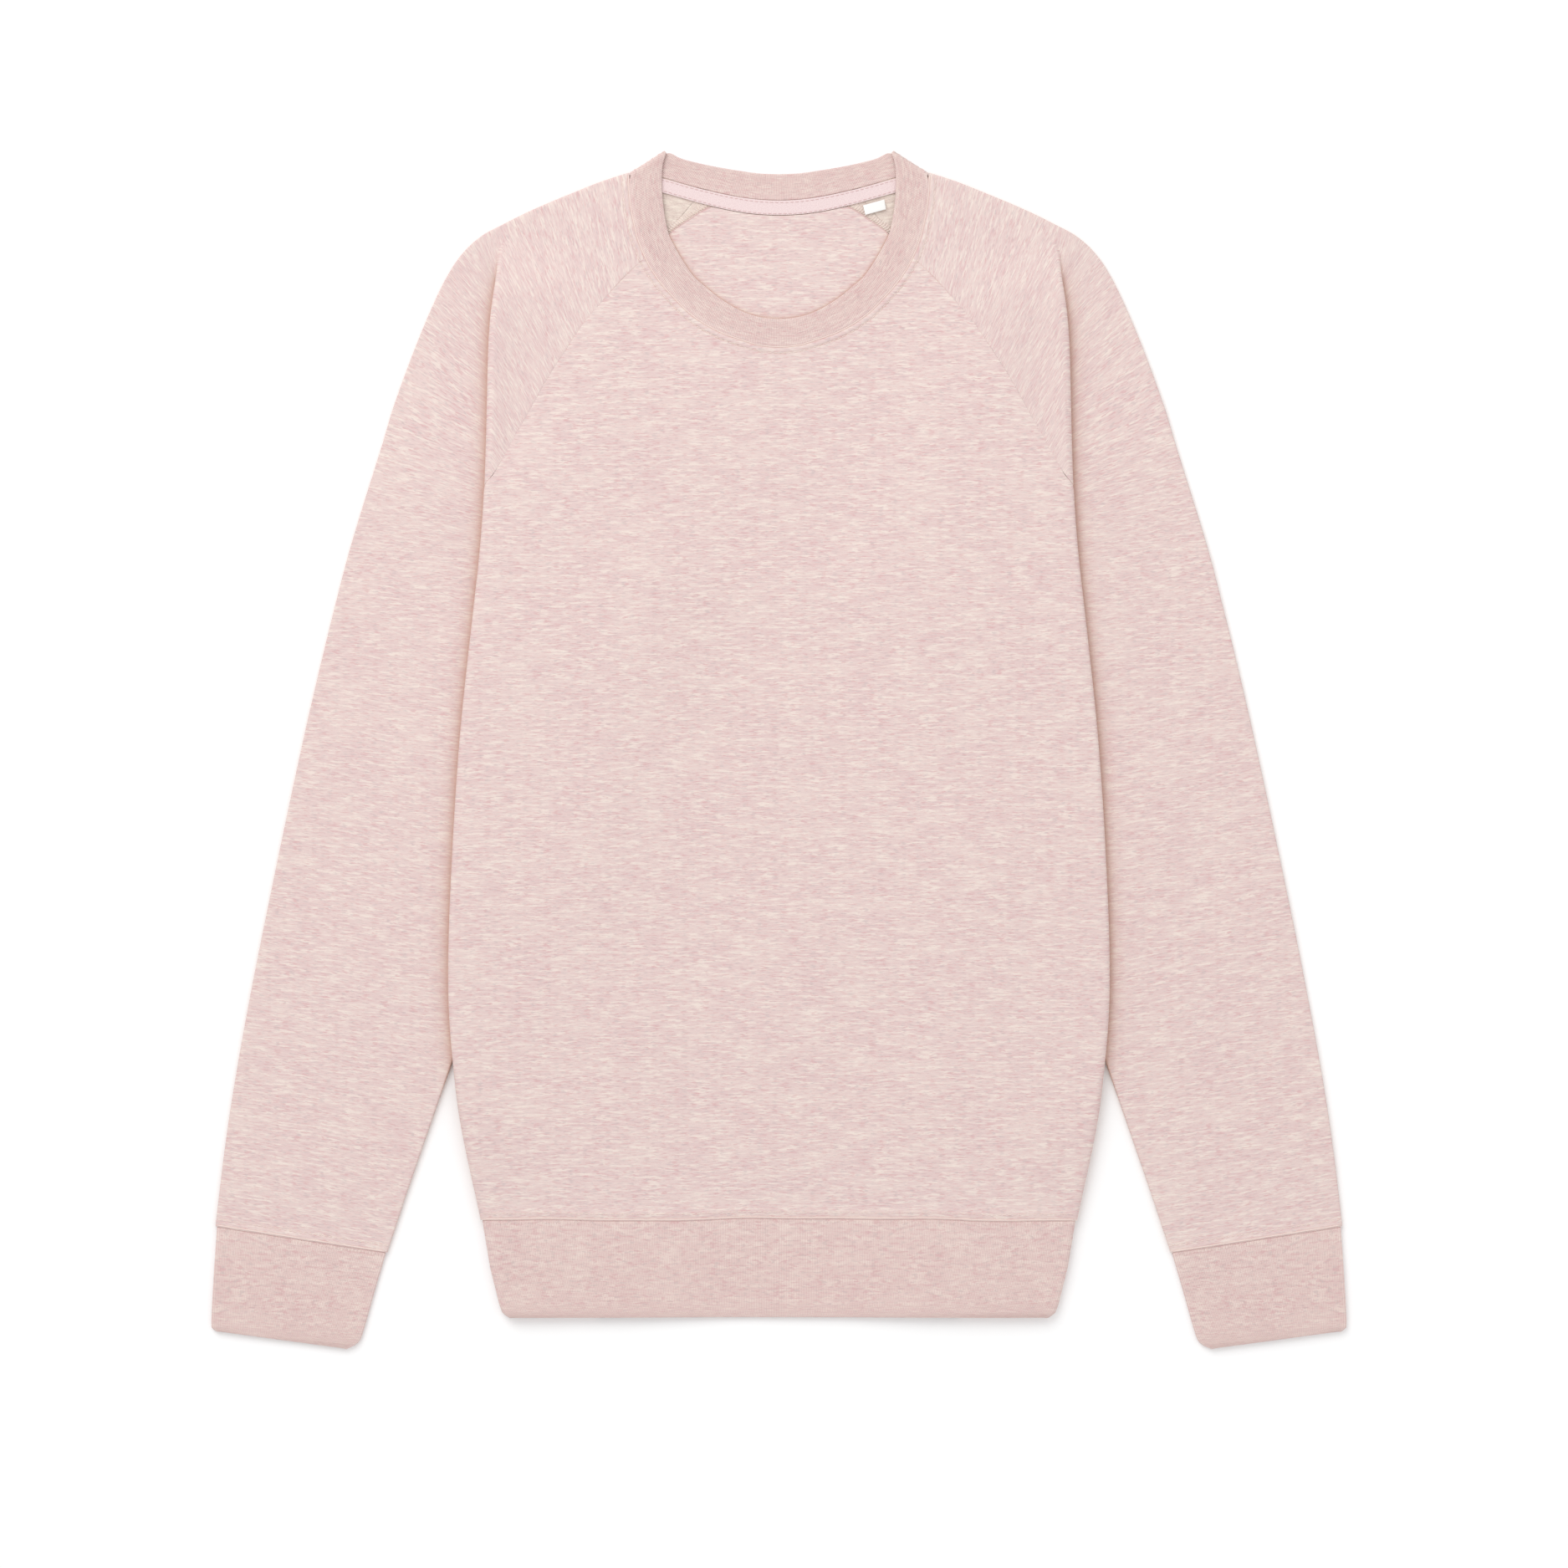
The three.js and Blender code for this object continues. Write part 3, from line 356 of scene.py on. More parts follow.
def pleat_length(turn):
    """The flat between the pleat's two folds, which closes up as the pleat turns flat."""
    return PLEAT_LENGTH * (1 + math.cos(turn)) / 2


def pleat_share(y):
    turn = pleat_turn(y)
    return (2 * PITCH * (1 - math.cos(turn)) + pleat_length(turn) * math.sin(turn)) / (4 * PITCH)


def sleeve_edge(y):
    return curve_at(SLEEVE_INNER, y)


def flap_edge(y):
    return curve_at(SIDE_SEAM, y)


def ramp_edge(edge_at, y):
    """Where the cloth above has risen to its full height over an edge below it."""
    if y <= UNDERARM[1]:
        return edge_at(y) - FLAP_CLEARANCE
    return min(pleat_line(y), side_fold(y)) - PLEAT_CLEARANCE


def raised(edge_at, ramp, ease):
    def height(u, y):
        share = pleat_share(y) if y > UNDERARM[1] else 1.0
        return 2 * PITCH * share * ease(1 - (ramp_edge(edge_at, y) - abs(u)) / ramp)

    return height


over_sleeve = raised(sleeve_edge, BACK_RAMP, straight)
over_flap = raised(flap_edge, BACK_RAMP, straight)
over_sleeve_wide = raised(sleeve_edge, FRONT_RAMP, smoothstep)
over_flap_wide = raised(flap_edge, FRONT_RAMP, smoothstep)


def neck_lift(u, y):
    away = math.hypot(u, y - NECK_CENTRE_Y) - NECK_LIFT_REACH
    return NECK_LIFT * (1 - smoothstep(away / NECK_LIFT_FADE))


def back_top(u, y):
    return CLOTH / 2 + max(over_sleeve(u, y) + over_flap(u, y) - BACK_DROP, 0)


def plump(u, y):
    """The side fold's soft bulge, which fades into the cloth inside it and at both its ends."""
    inside = smoothstep(1 - (side_fold(y) - abs(u)) / PLUMP_REACH)
    ends = smoothstep((PLUMP_TOP_Y - y) / PLUMP_FADE) * smoothstep((y - HEM_SEAM_Y) / PLUMP_FADE)
    return PLUMP * inside * ends


def front_top(u, y):
    low = CLOTH / 2 + PITCH + over_sleeve_wide(u, y) + over_flap_wide(u, y) + neck_lift(u, y)
    return low + plump(u, y)


def front_flap(u, y):
    return CLOTH / 2 + over_sleeve(u, y)


def back_flap(u, y):
    return front_flap(u, y) + PITCH


def sleeve_front(u, y):
    return CLOTH / 2 + PITCH + neck_lift(u, y)


def sleeve_back(u, y):
    return CLOTH / 2


def leg(a, b, segments, height):
    """Points from a to b in plan on a layer, without the first one."""
    points = []
    for i in range(1, segments + 1):
        s = i / segments
        u, y = a[0] + (b[0] - a[0]) * s, a[1] + (b[1] - a[1]) * s
        points.append((u, y, height(u, y)))
    return points


def ramped_leg(a, b, segments, height, edges=(flap_edge, sleeve_edge)):
    """Points from a to b at one y, with one at each end of a ramp that lies between them."""
    y = a[1]
    low, high = min(a[0], b[0]), max(a[0], b[0])
    stops = [stop for edge in edges for stop in (ramp_edge(edge, y) - BACK_RAMP, ramp_edge(edge, y))]
    spread = min(max(min(stops), low), high)
    extra = segments - 1 - len(stops)
    stops += [low + (spread - low) * (i + 1) / (extra + 1) for i in range(extra)]
    us = sorted(min(max(u, low), high) for u in stops)
    way = [*us, high] if a[0] < b[0] else [*us[::-1], low]
    return [(u, y, height(u, y)) for u in way[-segments:]]


def turn_round(centre, outward, radius, middle, start, end, segments):
    """Points round a fold: 0 is its top layer and pi its bottom layer."""
    points = []
    for i in range(1, segments + 1):
        turn = start + (end - start) * i / segments
        out = radius * math.sin(turn)
        place = (centre[0] + outward[0] * out, centre[1] + outward[1] * out)
        points.append((*place, middle + radius * math.cos(turn)))
    return points


def shifted(p, towards, distance):
    x, y = unit(towards[0] - p[0], towards[1] - p[1])
    return (p[0] + x * distance, p[1] + y * distance)


def spaced(knots, segments):
    """Points at equal distances along a line of knots in plan."""
    knots = np.array(knots, dtype=float)
    run = np.concatenate([[0], np.cumsum(np.linalg.norm(np.diff(knots, axis=0), axis=1))])
    at = np.linspace(0, run[-1], segments + 1)
    return list(zip(np.interp(at, run, knots[:, 0]), np.interp(at, run, knots[:, 1])))


def cloth_edge(rows, gap):
    """The collar's seam line, moved out to the edge of the cloth that is sewn to it."""
    knots = np.array([row[0] for row in rows], dtype=float)
    edge = []
    for i, knot in enumerate(knots):
        along = knots[min(i + 1, len(knots) - 1)] - knots[max(i - 1, 0)]
        if i == 0:
            along = np.array([1.0, 0.0])
        along = along / np.linalg.norm(along)
        edge.append((knot[0] + along[1] * gap, knot[1] - along[0] * gap))
    return edge


FRONT_NECK = cloth_edge(COLLAR_FRONT, -SEAM_ALLOWANCE)
BACK_NECK = cloth_edge(COLLAR_BACK[::-1] + [COLLAR_FRONT[-1]], -SEAM_ALLOWANCE)
COLLAR_SEAM_LINE = cloth_edge(COLLAR_FRONT, SEAM_SPACE)


def part_pleat(fold, turn, top, front):
    """A pleat that has only turned part of the way: down round the side fold, along and level again."""
    first, second = (1.5 * PITCH, 0.5 * PITCH) if front else (0.5 * PITCH, 1.5 * PITCH)
    u, y = fold
    points = []
    for i in range(1, TURN + 1):
        a = turn * i / TURN
        points.append((u + first * math.sin(a), y, top - first * (1 - math.cos(a))))
    x, z = points[-1][0], points[-1][2]
    for i in range(1, FLAP + 1):
        s = pleat_length(turn) * i / FLAP
        points.append((x + s * math.cos(turn), y, z - s * math.sin(turn)))
    x = points[-1][0] + second * math.sin(turn)
    z = points[-1][2] - second * (1 - math.cos(turn))
    for i in range(1, PLEAT + 1):
        a = turn * (1 - i / PLEAT)
        points.append((x - second * math.sin(a), y, z + second * (1 - math.cos(a))))
    return points


def between(a, b, share):
    return (a[0] + (b[0] - a[0]) * share, a[1] + (b[1] - a[1]) * share)


def sleeve_face(row, front, normal):
    """Points of one face of the sleeve, from its raglan seam to the outer edge."""
    start, front_seam, back_seam, outer_point, fold_y, pleat_y = row
    seam_point = front_seam if front else back_seam
    top_height = front_top if front else back_top
    low_height = sleeve_front if front else sleeve_back
    flap_height = CLOTH / 2 + (2 if front else 3) * PITCH
    inner_radius = (0.5 if front else 1.5) * PITCH
    inner_middle = CLOTH / 2 + 1.5 * PITCH
    outer = (outer_point[0] - normal[0] * TUBE_EDGE, outer_point[1] - normal[1] * TUBE_EDGE)
    total = TOP + TURN + FLAP + PLEAT + SLEEVE
    if start == "collar":
        edge = FRONT_NECK if front else BACK_NECK
        knots = [p for p in edge if min(p[0] - seam_point[0], p[1] - seam_point[1]) > ROW_SPACE]
        knots = [p for p in knots if math.hypot(p[0] - outer[0], p[1] - outer[1]) > KNOT_SPACE]
        line = spaced([seam_point, *knots, outer], total)
        return [(u, y, top_height(u, y)) for u, y in line], outer
    fold = (side_fold(fold_y), fold_y) if fold_y else None
    pleat = (pleat_line(pleat_y), pleat_y) if pleat_y and pleat_y > 1 else None
    if start == "top":
        seam = shifted(seam_point, outer, SEAM_SHIFT)
        first = (seam[0], seam[1], top_height(*seam))
        if not fold:
            knee = between(seam, outer, pleat_y)
            past = between(knee, outer, KNEE_SHARE)
            points = [first, *leg(seam, knee, TOP, top_height)]
            points += leg(knee, past, TURN + FLAP + PLEAT, top_height)
            return points + leg(past, outer, SLEEVE, top_height), outer
        near = shifted(fold, seam, NEAR_FOLD)
        points = [first, *leg(seam, near, TOP - 1, top_height), *leg(near, fold, 1, top_height)]
        if not pleat:
            points += part_pleat(fold, pleat_turn(fold_y), top_height(*fold), front)
            return points + leg(points[-1][:2], outer, SLEEVE, low_height), outer
        top = top_height(*fold)
        radius, middle = (top - flap_height) / 2, (top + flap_height) / 2
        points += turn_round(fold, (1, 0), radius, middle, 0, math.pi, TURN)
        points += leg(fold, pleat, FLAP, lambda u, y: flap_height)
    elif start == "turn":
        top = top_height(*fold)
        radius, middle = (top - flap_height) / 2, (top + flap_height) / 2
        begin = min(math.radians(seam_point) + FOLD_SEAM_SHIFT / radius, math.pi)
        first = turn_round(fold, (1, 0), radius, middle, begin, begin, 1)[0]
        points = [first] * (TOP + 1) + turn_round(fold, (1, 0), radius, middle, begin, math.pi, TURN)
        points += leg(fold, pleat, FLAP, lambda u, y: flap_height)
    else:
        seam = shifted(seam_point, pleat, SEAM_SHIFT)
        points = [(seam[0], seam[1], flap_height)] * (TOP + 1 + TURN)
        points += leg(seam, pleat, FLAP, lambda u, y: flap_height)
    points += turn_round(pleat, PLEAT_INWARD, inner_radius, inner_middle, 0, math.pi, PLEAT)
    return points + leg(pleat, outer, SLEEVE, low_height), outer


def sleeve_row(row, normal):
    front, outer = sleeve_face(row, True, normal)
    back, _ = sleeve_face(row, False, normal)
    top = front[-1][2]
    radius, middle = (top - CLOTH / 2) / 2, (top + CLOTH / 2) / 2
    edge = turn_round(outer, normal, radius, middle, 0, math.pi, EDGE)[:-1]
    return front + edge + back[::-1]


def tube_row(inner, outer, spare, lift=0.0):
    """A row of a flattened tube, in as many points as a row of the sleeve."""
    across = unit(outer[0] - inner[0], outer[1] - inner[1])
    inward = (-across[0], -across[1])
    a = (inner[0] + across[0] * TUBE_EDGE, inner[1] + across[1] * TUBE_EDGE)
    b = (outer[0] - across[0] * TUBE_EDGE, outer[1] - across[1] * TUBE_EDGE)
    middle = CLOTH / 2 + TUBE_FOLD
    start = turn_round(a, inward, TUBE_FOLD, middle, math.pi / 2, math.pi / 2, 1)
    return [
        *(start * (spare + 1)),
        *turn_round(a, inward, TUBE_FOLD, middle, math.pi / 2, 0, PLEAT),
        *leg(a, b, SLEEVE, lambda u, y: CLOTH / 2 + PITCH + lift),
        *turn_round(b, across, TUBE_FOLD, middle, 0, math.pi, EDGE),
        *leg(b, a, SLEEVE, lambda u, y: CLOTH / 2),
        *turn_round(a, inward, TUBE_FOLD, middle, math.pi, math.pi / 2, PLEAT),
        *(start * spare),
    ]


def sleeve_grid():
    outers = [row[3] for row in SHOULDER_ROWS]
    rows = []
    for i, row in enumerate(SHOULDER_ROWS):
        before, after = outers[max(i - 1, 0)], outers[min(i + 1, len(outers) - 1)]
        rows.append(sleeve_row(row, unit(before[1] - after[1], after[0] - before[0])))
    lifts = [0.0] * (len(TUBE_ROWS) - 4) + list(SEAM_LIFT)
    for (inner_y, outer_y), lift in zip(TUBE_ROWS, lifts):
        inner, outer = (sleeve_edge(inner_y), inner_y), (curve_at(SLEEVE_OUTER, outer_y), outer_y)
        rows.append(tube_row(inner, outer, TOP + TURN + FLAP, lift))
    return rows


def folded_row(front, y, degrees=None, seam_point=None):
    """A row of the body that goes round the side fold, as far as some degrees, a seam or its free edge."""
    top_height, flap_height = (front_top, front_flap) if front else (back_top, back_flap)
    spare = BODY_FLAP + PLEAT
    fold = (side_fold(y), y)
    top, flap = top_height(*fold), flap_height(*fold)
    radius = (top - flap) / 2
    end = math.pi if degrees is None else max(math.radians(degrees) - FOLD_SEAM_SHIFT / radius, 0)
    row = [(0.0, y, top_height(0, y)), *ramped_leg((0.0, y), fold, BODY_TOP, top_height)]
    row += turn_round(fold, (1, 0), radius, (top + flap) / 2, 0, end, TURN)
    if degrees is not None:
        return row + [row[-1]] * spare
    if seam_point:
        under = leg(fold, (seam_point[0] + SEAM_SHIFT * 1.5, y), BODY_FLAP, flap_height)
        return row + under + [under[-1]] * PLEAT
    edge = (flap_edge(y) + TUBE_EDGE, y)
    under = ramped_leg(fold, edge, BODY_FLAP, flap_height, (sleeve_edge,))
    middle = flap_height(*edge) + (TUBE_FOLD if front else -TUBE_FOLD)
    begin, end = (math.pi, math.pi / 2 + END_TURN) if front else (0, math.pi / 2 - END_TURN)
    return row + under + turn_round(edge, (-1, 0), TUBE_FOLD, middle, begin, end, PLEAT)


def body_grid(front):
    """Rows of the body's front or back, from the neck to the hem seam."""
    top_height = front_top if front else back_top
    neck_edge = FRONT_NECK if front else BACK_NECK
    spare = BODY_FLAP + PLEAT
    seam = [row[1 if front else 2] for row in SHOULDER_ROWS if row[0] in ("collar", "top")]
    seam_line = [(y, u) for u, y in seam]
    neck_line = [(y, u) for u, y in neck_edge][::-1]
    centre = neck_edge[0][1]
    ys = {y for _, y in [*seam[1:], *neck_edge] if y < seam[0][1] - ROW_SPACE}
    ys |= {seam[0][1] - CORNER}
    if not front:
        ys |= BACK_ROWS_Y
    rows = []
    for y in sorted(ys, reverse=True):
        start = (line_at(neck_line, y) if y > centre else 0.0, y)
        end = (line_at(seam_line, y) - SEAM_SHIFT * 1.5, y)
        across = ramped_leg(start, end, BODY_TOP, top_height)
        rows.append([(start[0], y, top_height(start[0], y)), *across, *([across[-1]] * (TURN + spare))])
    for row in SHOULDER_ROWS[:-1]:
        if row[0] == "turn":
            rows.append(folded_row(front, row[4], degrees=row[1]))
        elif row[0] == "flap":
            rows.append(folded_row(front, row[1][1], seam_point=row[1]))
    lifts = [0.0] * (len(BODY_ROWS_Y) - 3) + list(SEAM_LIFT[1:])
    for y, lift in zip(BODY_ROWS_Y, lifts):
        row = folded_row(front, y)
        if front:
            row[: BODY_TOP + 1] = [(p[0], p[1], p[2] + lift) for p in row[: BODY_TOP + 1]]
        rows.append(row)
    rows.append(folded_row(front, HEM_SEAM_Y))
    return rows


def mirrored(points):
    return [(-x, y, z) for x, y, z in points]


def grain(rows, across=None):
    """Each point's place in the knit: the run along its row and the distance from the first row."""
    uvs, down = [], 0.0
    for i, row in enumerate(rows):
        if across is not None:
            down = across(row)
        elif i:
            steps = [math.dist(a, b) for a, b in zip(rows[i - 1], row)]
            down += sum(steps) / len(steps)
        run, uv = row[0][0], []
        for j, p in enumerate(row):
            run += math.dist(p, row[j - 1]) if j else 0.0
            uv.append((run * MM, -down * MM))
        uvs.append(uv)
    return uvs


class Surface:
    """Grids of points in millimetres, joined at shared points into one mesh with a knit map."""

    def __init__(self, name):
        self.name = name
        self.points = []
        self.index = {}
        self.faces = []
        self.uvs = []

    def vertex(self, p):
        key = tuple(round(abs(c) * WELD) * (1 if c >= 0 else -1) for c in p)
        if key not in self.index:
            self.index[key] = len(self.points)
            self.points.append(p)
        return self.index[key]

    def grid(self, rows, uvs, flip=False):
        indices = [[self.vertex(p) for p in row] for row in rows]
        for i in range(len(rows) - 1):
            for j in range(len(rows[i]) - 1):
                corners = [(i, j), (i + 1, j), (i + 1, j + 1), (i, j + 1)]
                if flip:
                    corners.reverse()
                face, uv = [], []
                for a, b in corners:
                    if indices[a][b] not in face:
                        face.append(indices[a][b])
                        uv.append(uvs[a][b])
                if len(face) > 2:
                    self.faces.append(face)
                    self.uvs.extend(uv)
        return self

    def mirrored(self, rows, uvs, flip=False):
        self.grid(rows, uvs, flip)
        other = [[(-u, v) for u, v in row] for row in uvs]
        return self.grid([mirrored(row) for row in rows], other, not flip)

    def object(self):
        mesh = bpy.data.meshes.new(self.name)
        mesh.from_pydata([tuple(c * MM for c in p) for p in self.points], [], self.faces)
        layer = mesh.uv_layers.new(name="grain")
        layer.data.foreach_set("uv", np.array(self.uvs, dtype=np.float32).ravel())
        mesh.validate()
        for polygon in mesh.polygons:
            polygon.use_smooth = True
        made = bpy.data.objects.new(self.name, mesh)
        bpy.context.scene.collection.objects.link(made)
        return made


def modified(made, *modifiers):
    """Adds each (type, settings) and bakes the stack into the mesh."""
    for kind, settings in modifiers:
        modifier = made.modifiers.new(kind.lower(), kind)
        for key, value in settings.items():
            setattr(modifier, key, value)
    graph = bpy.context.evaluated_depsgraph_get()
    graph.update()
    baked = bpy.data.meshes.new_from_object(made.evaluated_get(graph))
    old = made.data
    made.modifiers.clear()
    made.data = baked
    bpy.data.meshes.remove(old)
    baked.name = made.name
    return made


def coordinates(mesh):
    co = np.empty(len(mesh.vertices) * 3, dtype=np.float32)
    mesh.vertices.foreach_get("co", co)
    return co.reshape(-1, 3).astype(float)


def set_coordinates(mesh, co):
    mesh.vertices.foreach_set("co", np.ascontiguousarray(co, dtype=np.float32).ravel())
    mesh.update()


SUBDIVISION = ("SUBSURF", {"levels": 2, "render_levels": 2, "boundary_smooth": "PRESERVE_CORNERS"})
SHELL = ("SOLIDIFY", {
    "thickness": CLOTH * MM, "offset": 0.0, "use_even_offset": False, "material_offset": 1,
    "material_offset_rim": 0, "use_quality_normals": True,
})
RIM = ("BEVEL", {
    "width": CLOTH_RIM * MM, "segments": 2, "limit_method": "ANGLE", "angle_limit": math.radians(RIM_ANGLE),
})


def rest_on_table(made):
    co = coordinates(made.data)
    co[:, 2] = np.maximum(co[:, 2], 0.0)
    set_coordinates(made.data, co)
    return made


def cloth(surface, materials, seams=()):
    """A panel of cloth: the grid made smooth, raised along its seams and given its thickness."""
    made = modified(surface.object(), SUBDIVISION)
    for line, profile in seams:
        raise_along(made, line, profile)
    for material in materials:
        made.data.materials.append(material)
    modified(made, SHELL, RIM)
    return laid(rest_on_table(made))


def settle(x, y):
    """Low, broad undulations that all the layers share, and a slight wave along the hem's seam."""
    swell = sum(
        size * np.sin(2 * np.pi * (x * fx + y * fy) + phase) for size, fx, fy, phase in SWELLS
    )
    near = np.exp(-(((y - HEM_SEAM_Y * MM) / (HEM_WAVE_REACH * MM)) ** 2))
    near = near * (np.abs(x) < HEM_WAVE_HALF * MM)
    wave = sum(size * np.sin(2 * np.pi * x * fx + phase) for size, fx, phase in HEM_WAVES)
    return (swell + SWELL_BASE) * MM, wave * near * MM


def laid(made):
    """Lays a piece on the undulating stack, in place."""
    co = coordinates(made.data)
    up, along = settle(co[:, 0], co[:, 1])
    share = np.clip(co[:, 2] / (CLOTH * MM), 0, 1)
    co[:, 2] += up * share
    co[:, 1] += along
    set_coordinates(made.data, co)
    return made


def distance_to(line, x, y):
    """Distances in plan from points to a line of knots."""
    best = np.full(len(x), 1e9)
    for (ax, ay), (bx, by) in zip(line, line[1:]):
        dx, dy = bx - ax, by - ay
        s = np.clip(((x - ax) * dx + (y - ay) * dy) / (dx * dx + dy * dy), 0, 1)
        best = np.minimum(best, np.hypot(x - ax - s * dx, y - ay - s * dy))
    return best


def raise_along(made, line, profile):
    """Divides the cloth finely near a seam and lifts it by a profile of (distance, height)."""
    reach = profile[-1][0]
    line = np.array(line) * MM
    data = bmesh.new()
    data.from_mesh(made.data)
    for limit in SEAM_EDGES:
        co = np.array([v.co[:] for v in data.verts])
        near = distance_to(line, co[:, 0], co[:, 1]) < (reach + SEAM_MARGIN) * MM
        data.verts.index_update()
        edges = [
            e for e in data.edges
            if near[e.verts[0].index] and near[e.verts[1].index] and e.calc_length() > limit * MM
        ]
        bmesh.ops.subdivide_edges(data, edges=edges, cuts=1, use_grid_fill=True)
    data.to_mesh(made.data)
    data.free()
    co = coordinates(made.data)
    away = distance_to(line, co[:, 0], co[:, 1]) / MM
    distances, heights = zip(*profile)
    co[:, 2] += np.interp(away, distances, heights, right=0.0) * MM
    set_coordinates(made.data, co)


class Value:
    """A number in a node tree that takes part in arithmetic."""

    def __init__(self, shader, socket):
        self.shader = shader
        self.socket = socket

    def math(self, operation, *others):
        return self.shader.math(operation, self, *others)

    def __add__(self, other):
        return self.math("ADD", other)

    def __mul__(self, other):
        return self.math("MULTIPLY", other)

    def __radd__(self, other):
        return self.shader.math("ADD", other, self)

    def __rmul__(self, other):
        return self.shader.math("MULTIPLY", other, self)

    def smooth(self, low, high):
        """0 below low, 1 above high and a smooth step between them."""
        node = self.shader.node(
            "ShaderNodeMapRange", {"interpolation_type": "SMOOTHSTEP"},
            {"Value": self, "From Min": low, "From Max": high},
        )
        return Value(self.shader, node.outputs["Result"])


class Shader:
    """A material on one Principled BSDF, with its nodes made through one method."""

    def __init__(self, name, roughness, sheen=0.0):
        self.material = bpy.data.materials.new(name + LOOK)
        self.material.use_nodes = True
        self.tree = self.material.node_tree
        self.bsdf = self.tree.nodes["Principled BSDF"]
        self.bsdf.inputs["Roughness"].default_value = roughness
        self.bsdf.inputs["Specular IOR Level"].default_value = SPECULAR
        self.bsdf.inputs["Sheen Weight"].default_value = sheen
        self.bsdf.inputs["Sheen Roughness"].default_value = SHEEN_ROUGHNESS
        self.column = 0

    def node(self, kind, settings=None, inputs=None):
        node = self.tree.nodes.new(kind)
        self.column -= 40
        node.location = (self.column, 0)
        for key, value in (settings or {}).items():
            setattr(node, key, value)
        for key, value in (inputs or {}).items():
            self.feed(node.inputs[key], value)
        return node

    def feed(self, socket, value):
        if isinstance(value, Value):
            value = value.socket
        if isinstance(value, bpy.types.NodeSocket):
            self.tree.links.new(value, socket)
        else:
            socket.default_value = value

    def math(self, operation, *inputs):
        node = self.node("ShaderNodeMath", {"operation": operation}, dict(enumerate(inputs)))
        return Value(self, node.outputs[0])

    def knit(self):
        return self.node("ShaderNodeUVMap", {"uv_map": "grain"}).outputs["UV"]

    def scaled(self, vector, x, y, shift=(0, 0, 0)):
        """A vector in metres in which one unit is x by y millimetres."""
        scale = (1 / (x * MM), 1 / (y * MM), 1 / MM)
        node = self.node("ShaderNodeMapping", None, {"Vector": vector, "Scale": scale, "Location": shift})
        return node.outputs["Vector"]

    def noise(self, vector, detail, roughness=0.5):
        settings = {"noise_dimensions": "2D"}
        inputs = {"Vector": vector, "Scale": 1.0, "Detail": detail, "Roughness": roughness}
        return Value(self, self.node("ShaderNodeTexNoise", settings, inputs).outputs["Fac"])

    def openness(self, reach):
        """How open to light a place is within a reach in millimetres, from 0 to 1."""
        node = self.node("ShaderNodeAmbientOcclusion", {"samples": 6}, {"Distance": reach * MM})
        return Value(self, node.outputs["AO"])

    def mix(self, factor, a, b):
        node = self.node("ShaderNodeMix", {"data_type": "RGBA"})
        self.feed(node.inputs["Factor"], factor)
        self.feed(node.inputs[6], a)
        self.feed(node.inputs[7], b)
        return node.outputs[2]

    def finish(self, colour, height=None, depth=0.2, strength=1.0):
        """Sets the colour, and a bump whose height is in units of depth millimetres."""
        self.feed(self.bsdf.inputs["Base Color"], colour)
        if height is not None:
            bump = self.node(
                "ShaderNodeBump", None, {"Height": height, "Distance": depth * MM, "Strength": strength}
            )
            self.feed(self.bsdf.inputs["Normal"], bump.outputs["Normal"])
        return self.material


def srgb(r, g, b):
    """A display colour from 0 to 255 as linear light."""
    def linear(c):
        c /= 255
        return c / 12.92 if c <= 0.04045 else ((c + 0.055) / 1.055) ** 2.4
    return (linear(r), linear(g), linear(b), 1.0)


def chosen(name):
    """A colour of the garment's settings."""
    return tuple(getattr(bpy.context.scene.sweatshirt, name))


def chosen_length(name):
    """A length of the garment's settings, in millimetres."""
    return round(getattr(bpy.context.scene.sweatshirt, name) / MM, 3)


def heather(shader, cloth_name, strength=1.0, length=1.0):
    """Short streaks of lighter, pinker and greyer fibres along the courses of the knit."""
    base, cream, pink, grey = (chosen(f"{cloth_name}_{tone}") for tone in ("base", "cream", "pink", "grey"))
    knit = shader.knit()
    fine = shader.noise(shader.scaled(knit, 6.0 * length, 0.9), 2.0, 0.6)
    broad = shader.noise(shader.scaled(knit, 14.0 * length, 1.8, shift=(4, 9, 0)), 2.0, 0.6)
    flecks = shader.noise(shader.scaled(knit, 4.6 * length, 0.8, shift=(11, 3, 0)), 1.0)
    mottle = shader.noise(shader.scaled(knit, 34.0, 9.0, shift=(2, 7, 0)), 2.0)
    colour = shader.mix(broad.smooth(0.42, 0.72) * (0.75 * strength), base, cream)
    colour = shader.mix(fine.smooth(0.5, 0.72) * (0.85 * strength), colour, pink)
    colour = shader.mix(flecks.smooth(0.56, 0.74) * (0.7 * strength), colour, grey)
    colour = shader.mix(mottle.smooth(0.35, 0.75) * (0.25 * strength), colour, cream)
    return colour, fine


def make_fleece():
    shader = Shader("heather_fleece", 0.95, 0.04)
    colour, fine = heather(shader, "fleece")
    knit = shader.knit()
    loops = shader.noise(shader.scaled(knit, 0.9, 0.7), 2.0, 0.6)
    nap = shader.noise(shader.scaled(knit, 2.6, 2.2, shift=(3, 1, 0)), 2.0)
    # Painted shade: where the cloth is occluded within CREASE_REACH, its base colour is mixed towards a warm
    # darker shade that stands in for the shade in creases
    sunk = shader.openness(CREASE_REACH).smooth(CREASE_OPEN, CREASE_DEEP)
    colour = shader.mix(sunk * PAINTED_CREASE_SHADE_STRENGTH, colour, chosen("fleece_painted_crease_shade"))
    return shader.finish(colour, loops * 0.6 + nap * 0.5 + fine * 0.3, 0.25, 0.8)


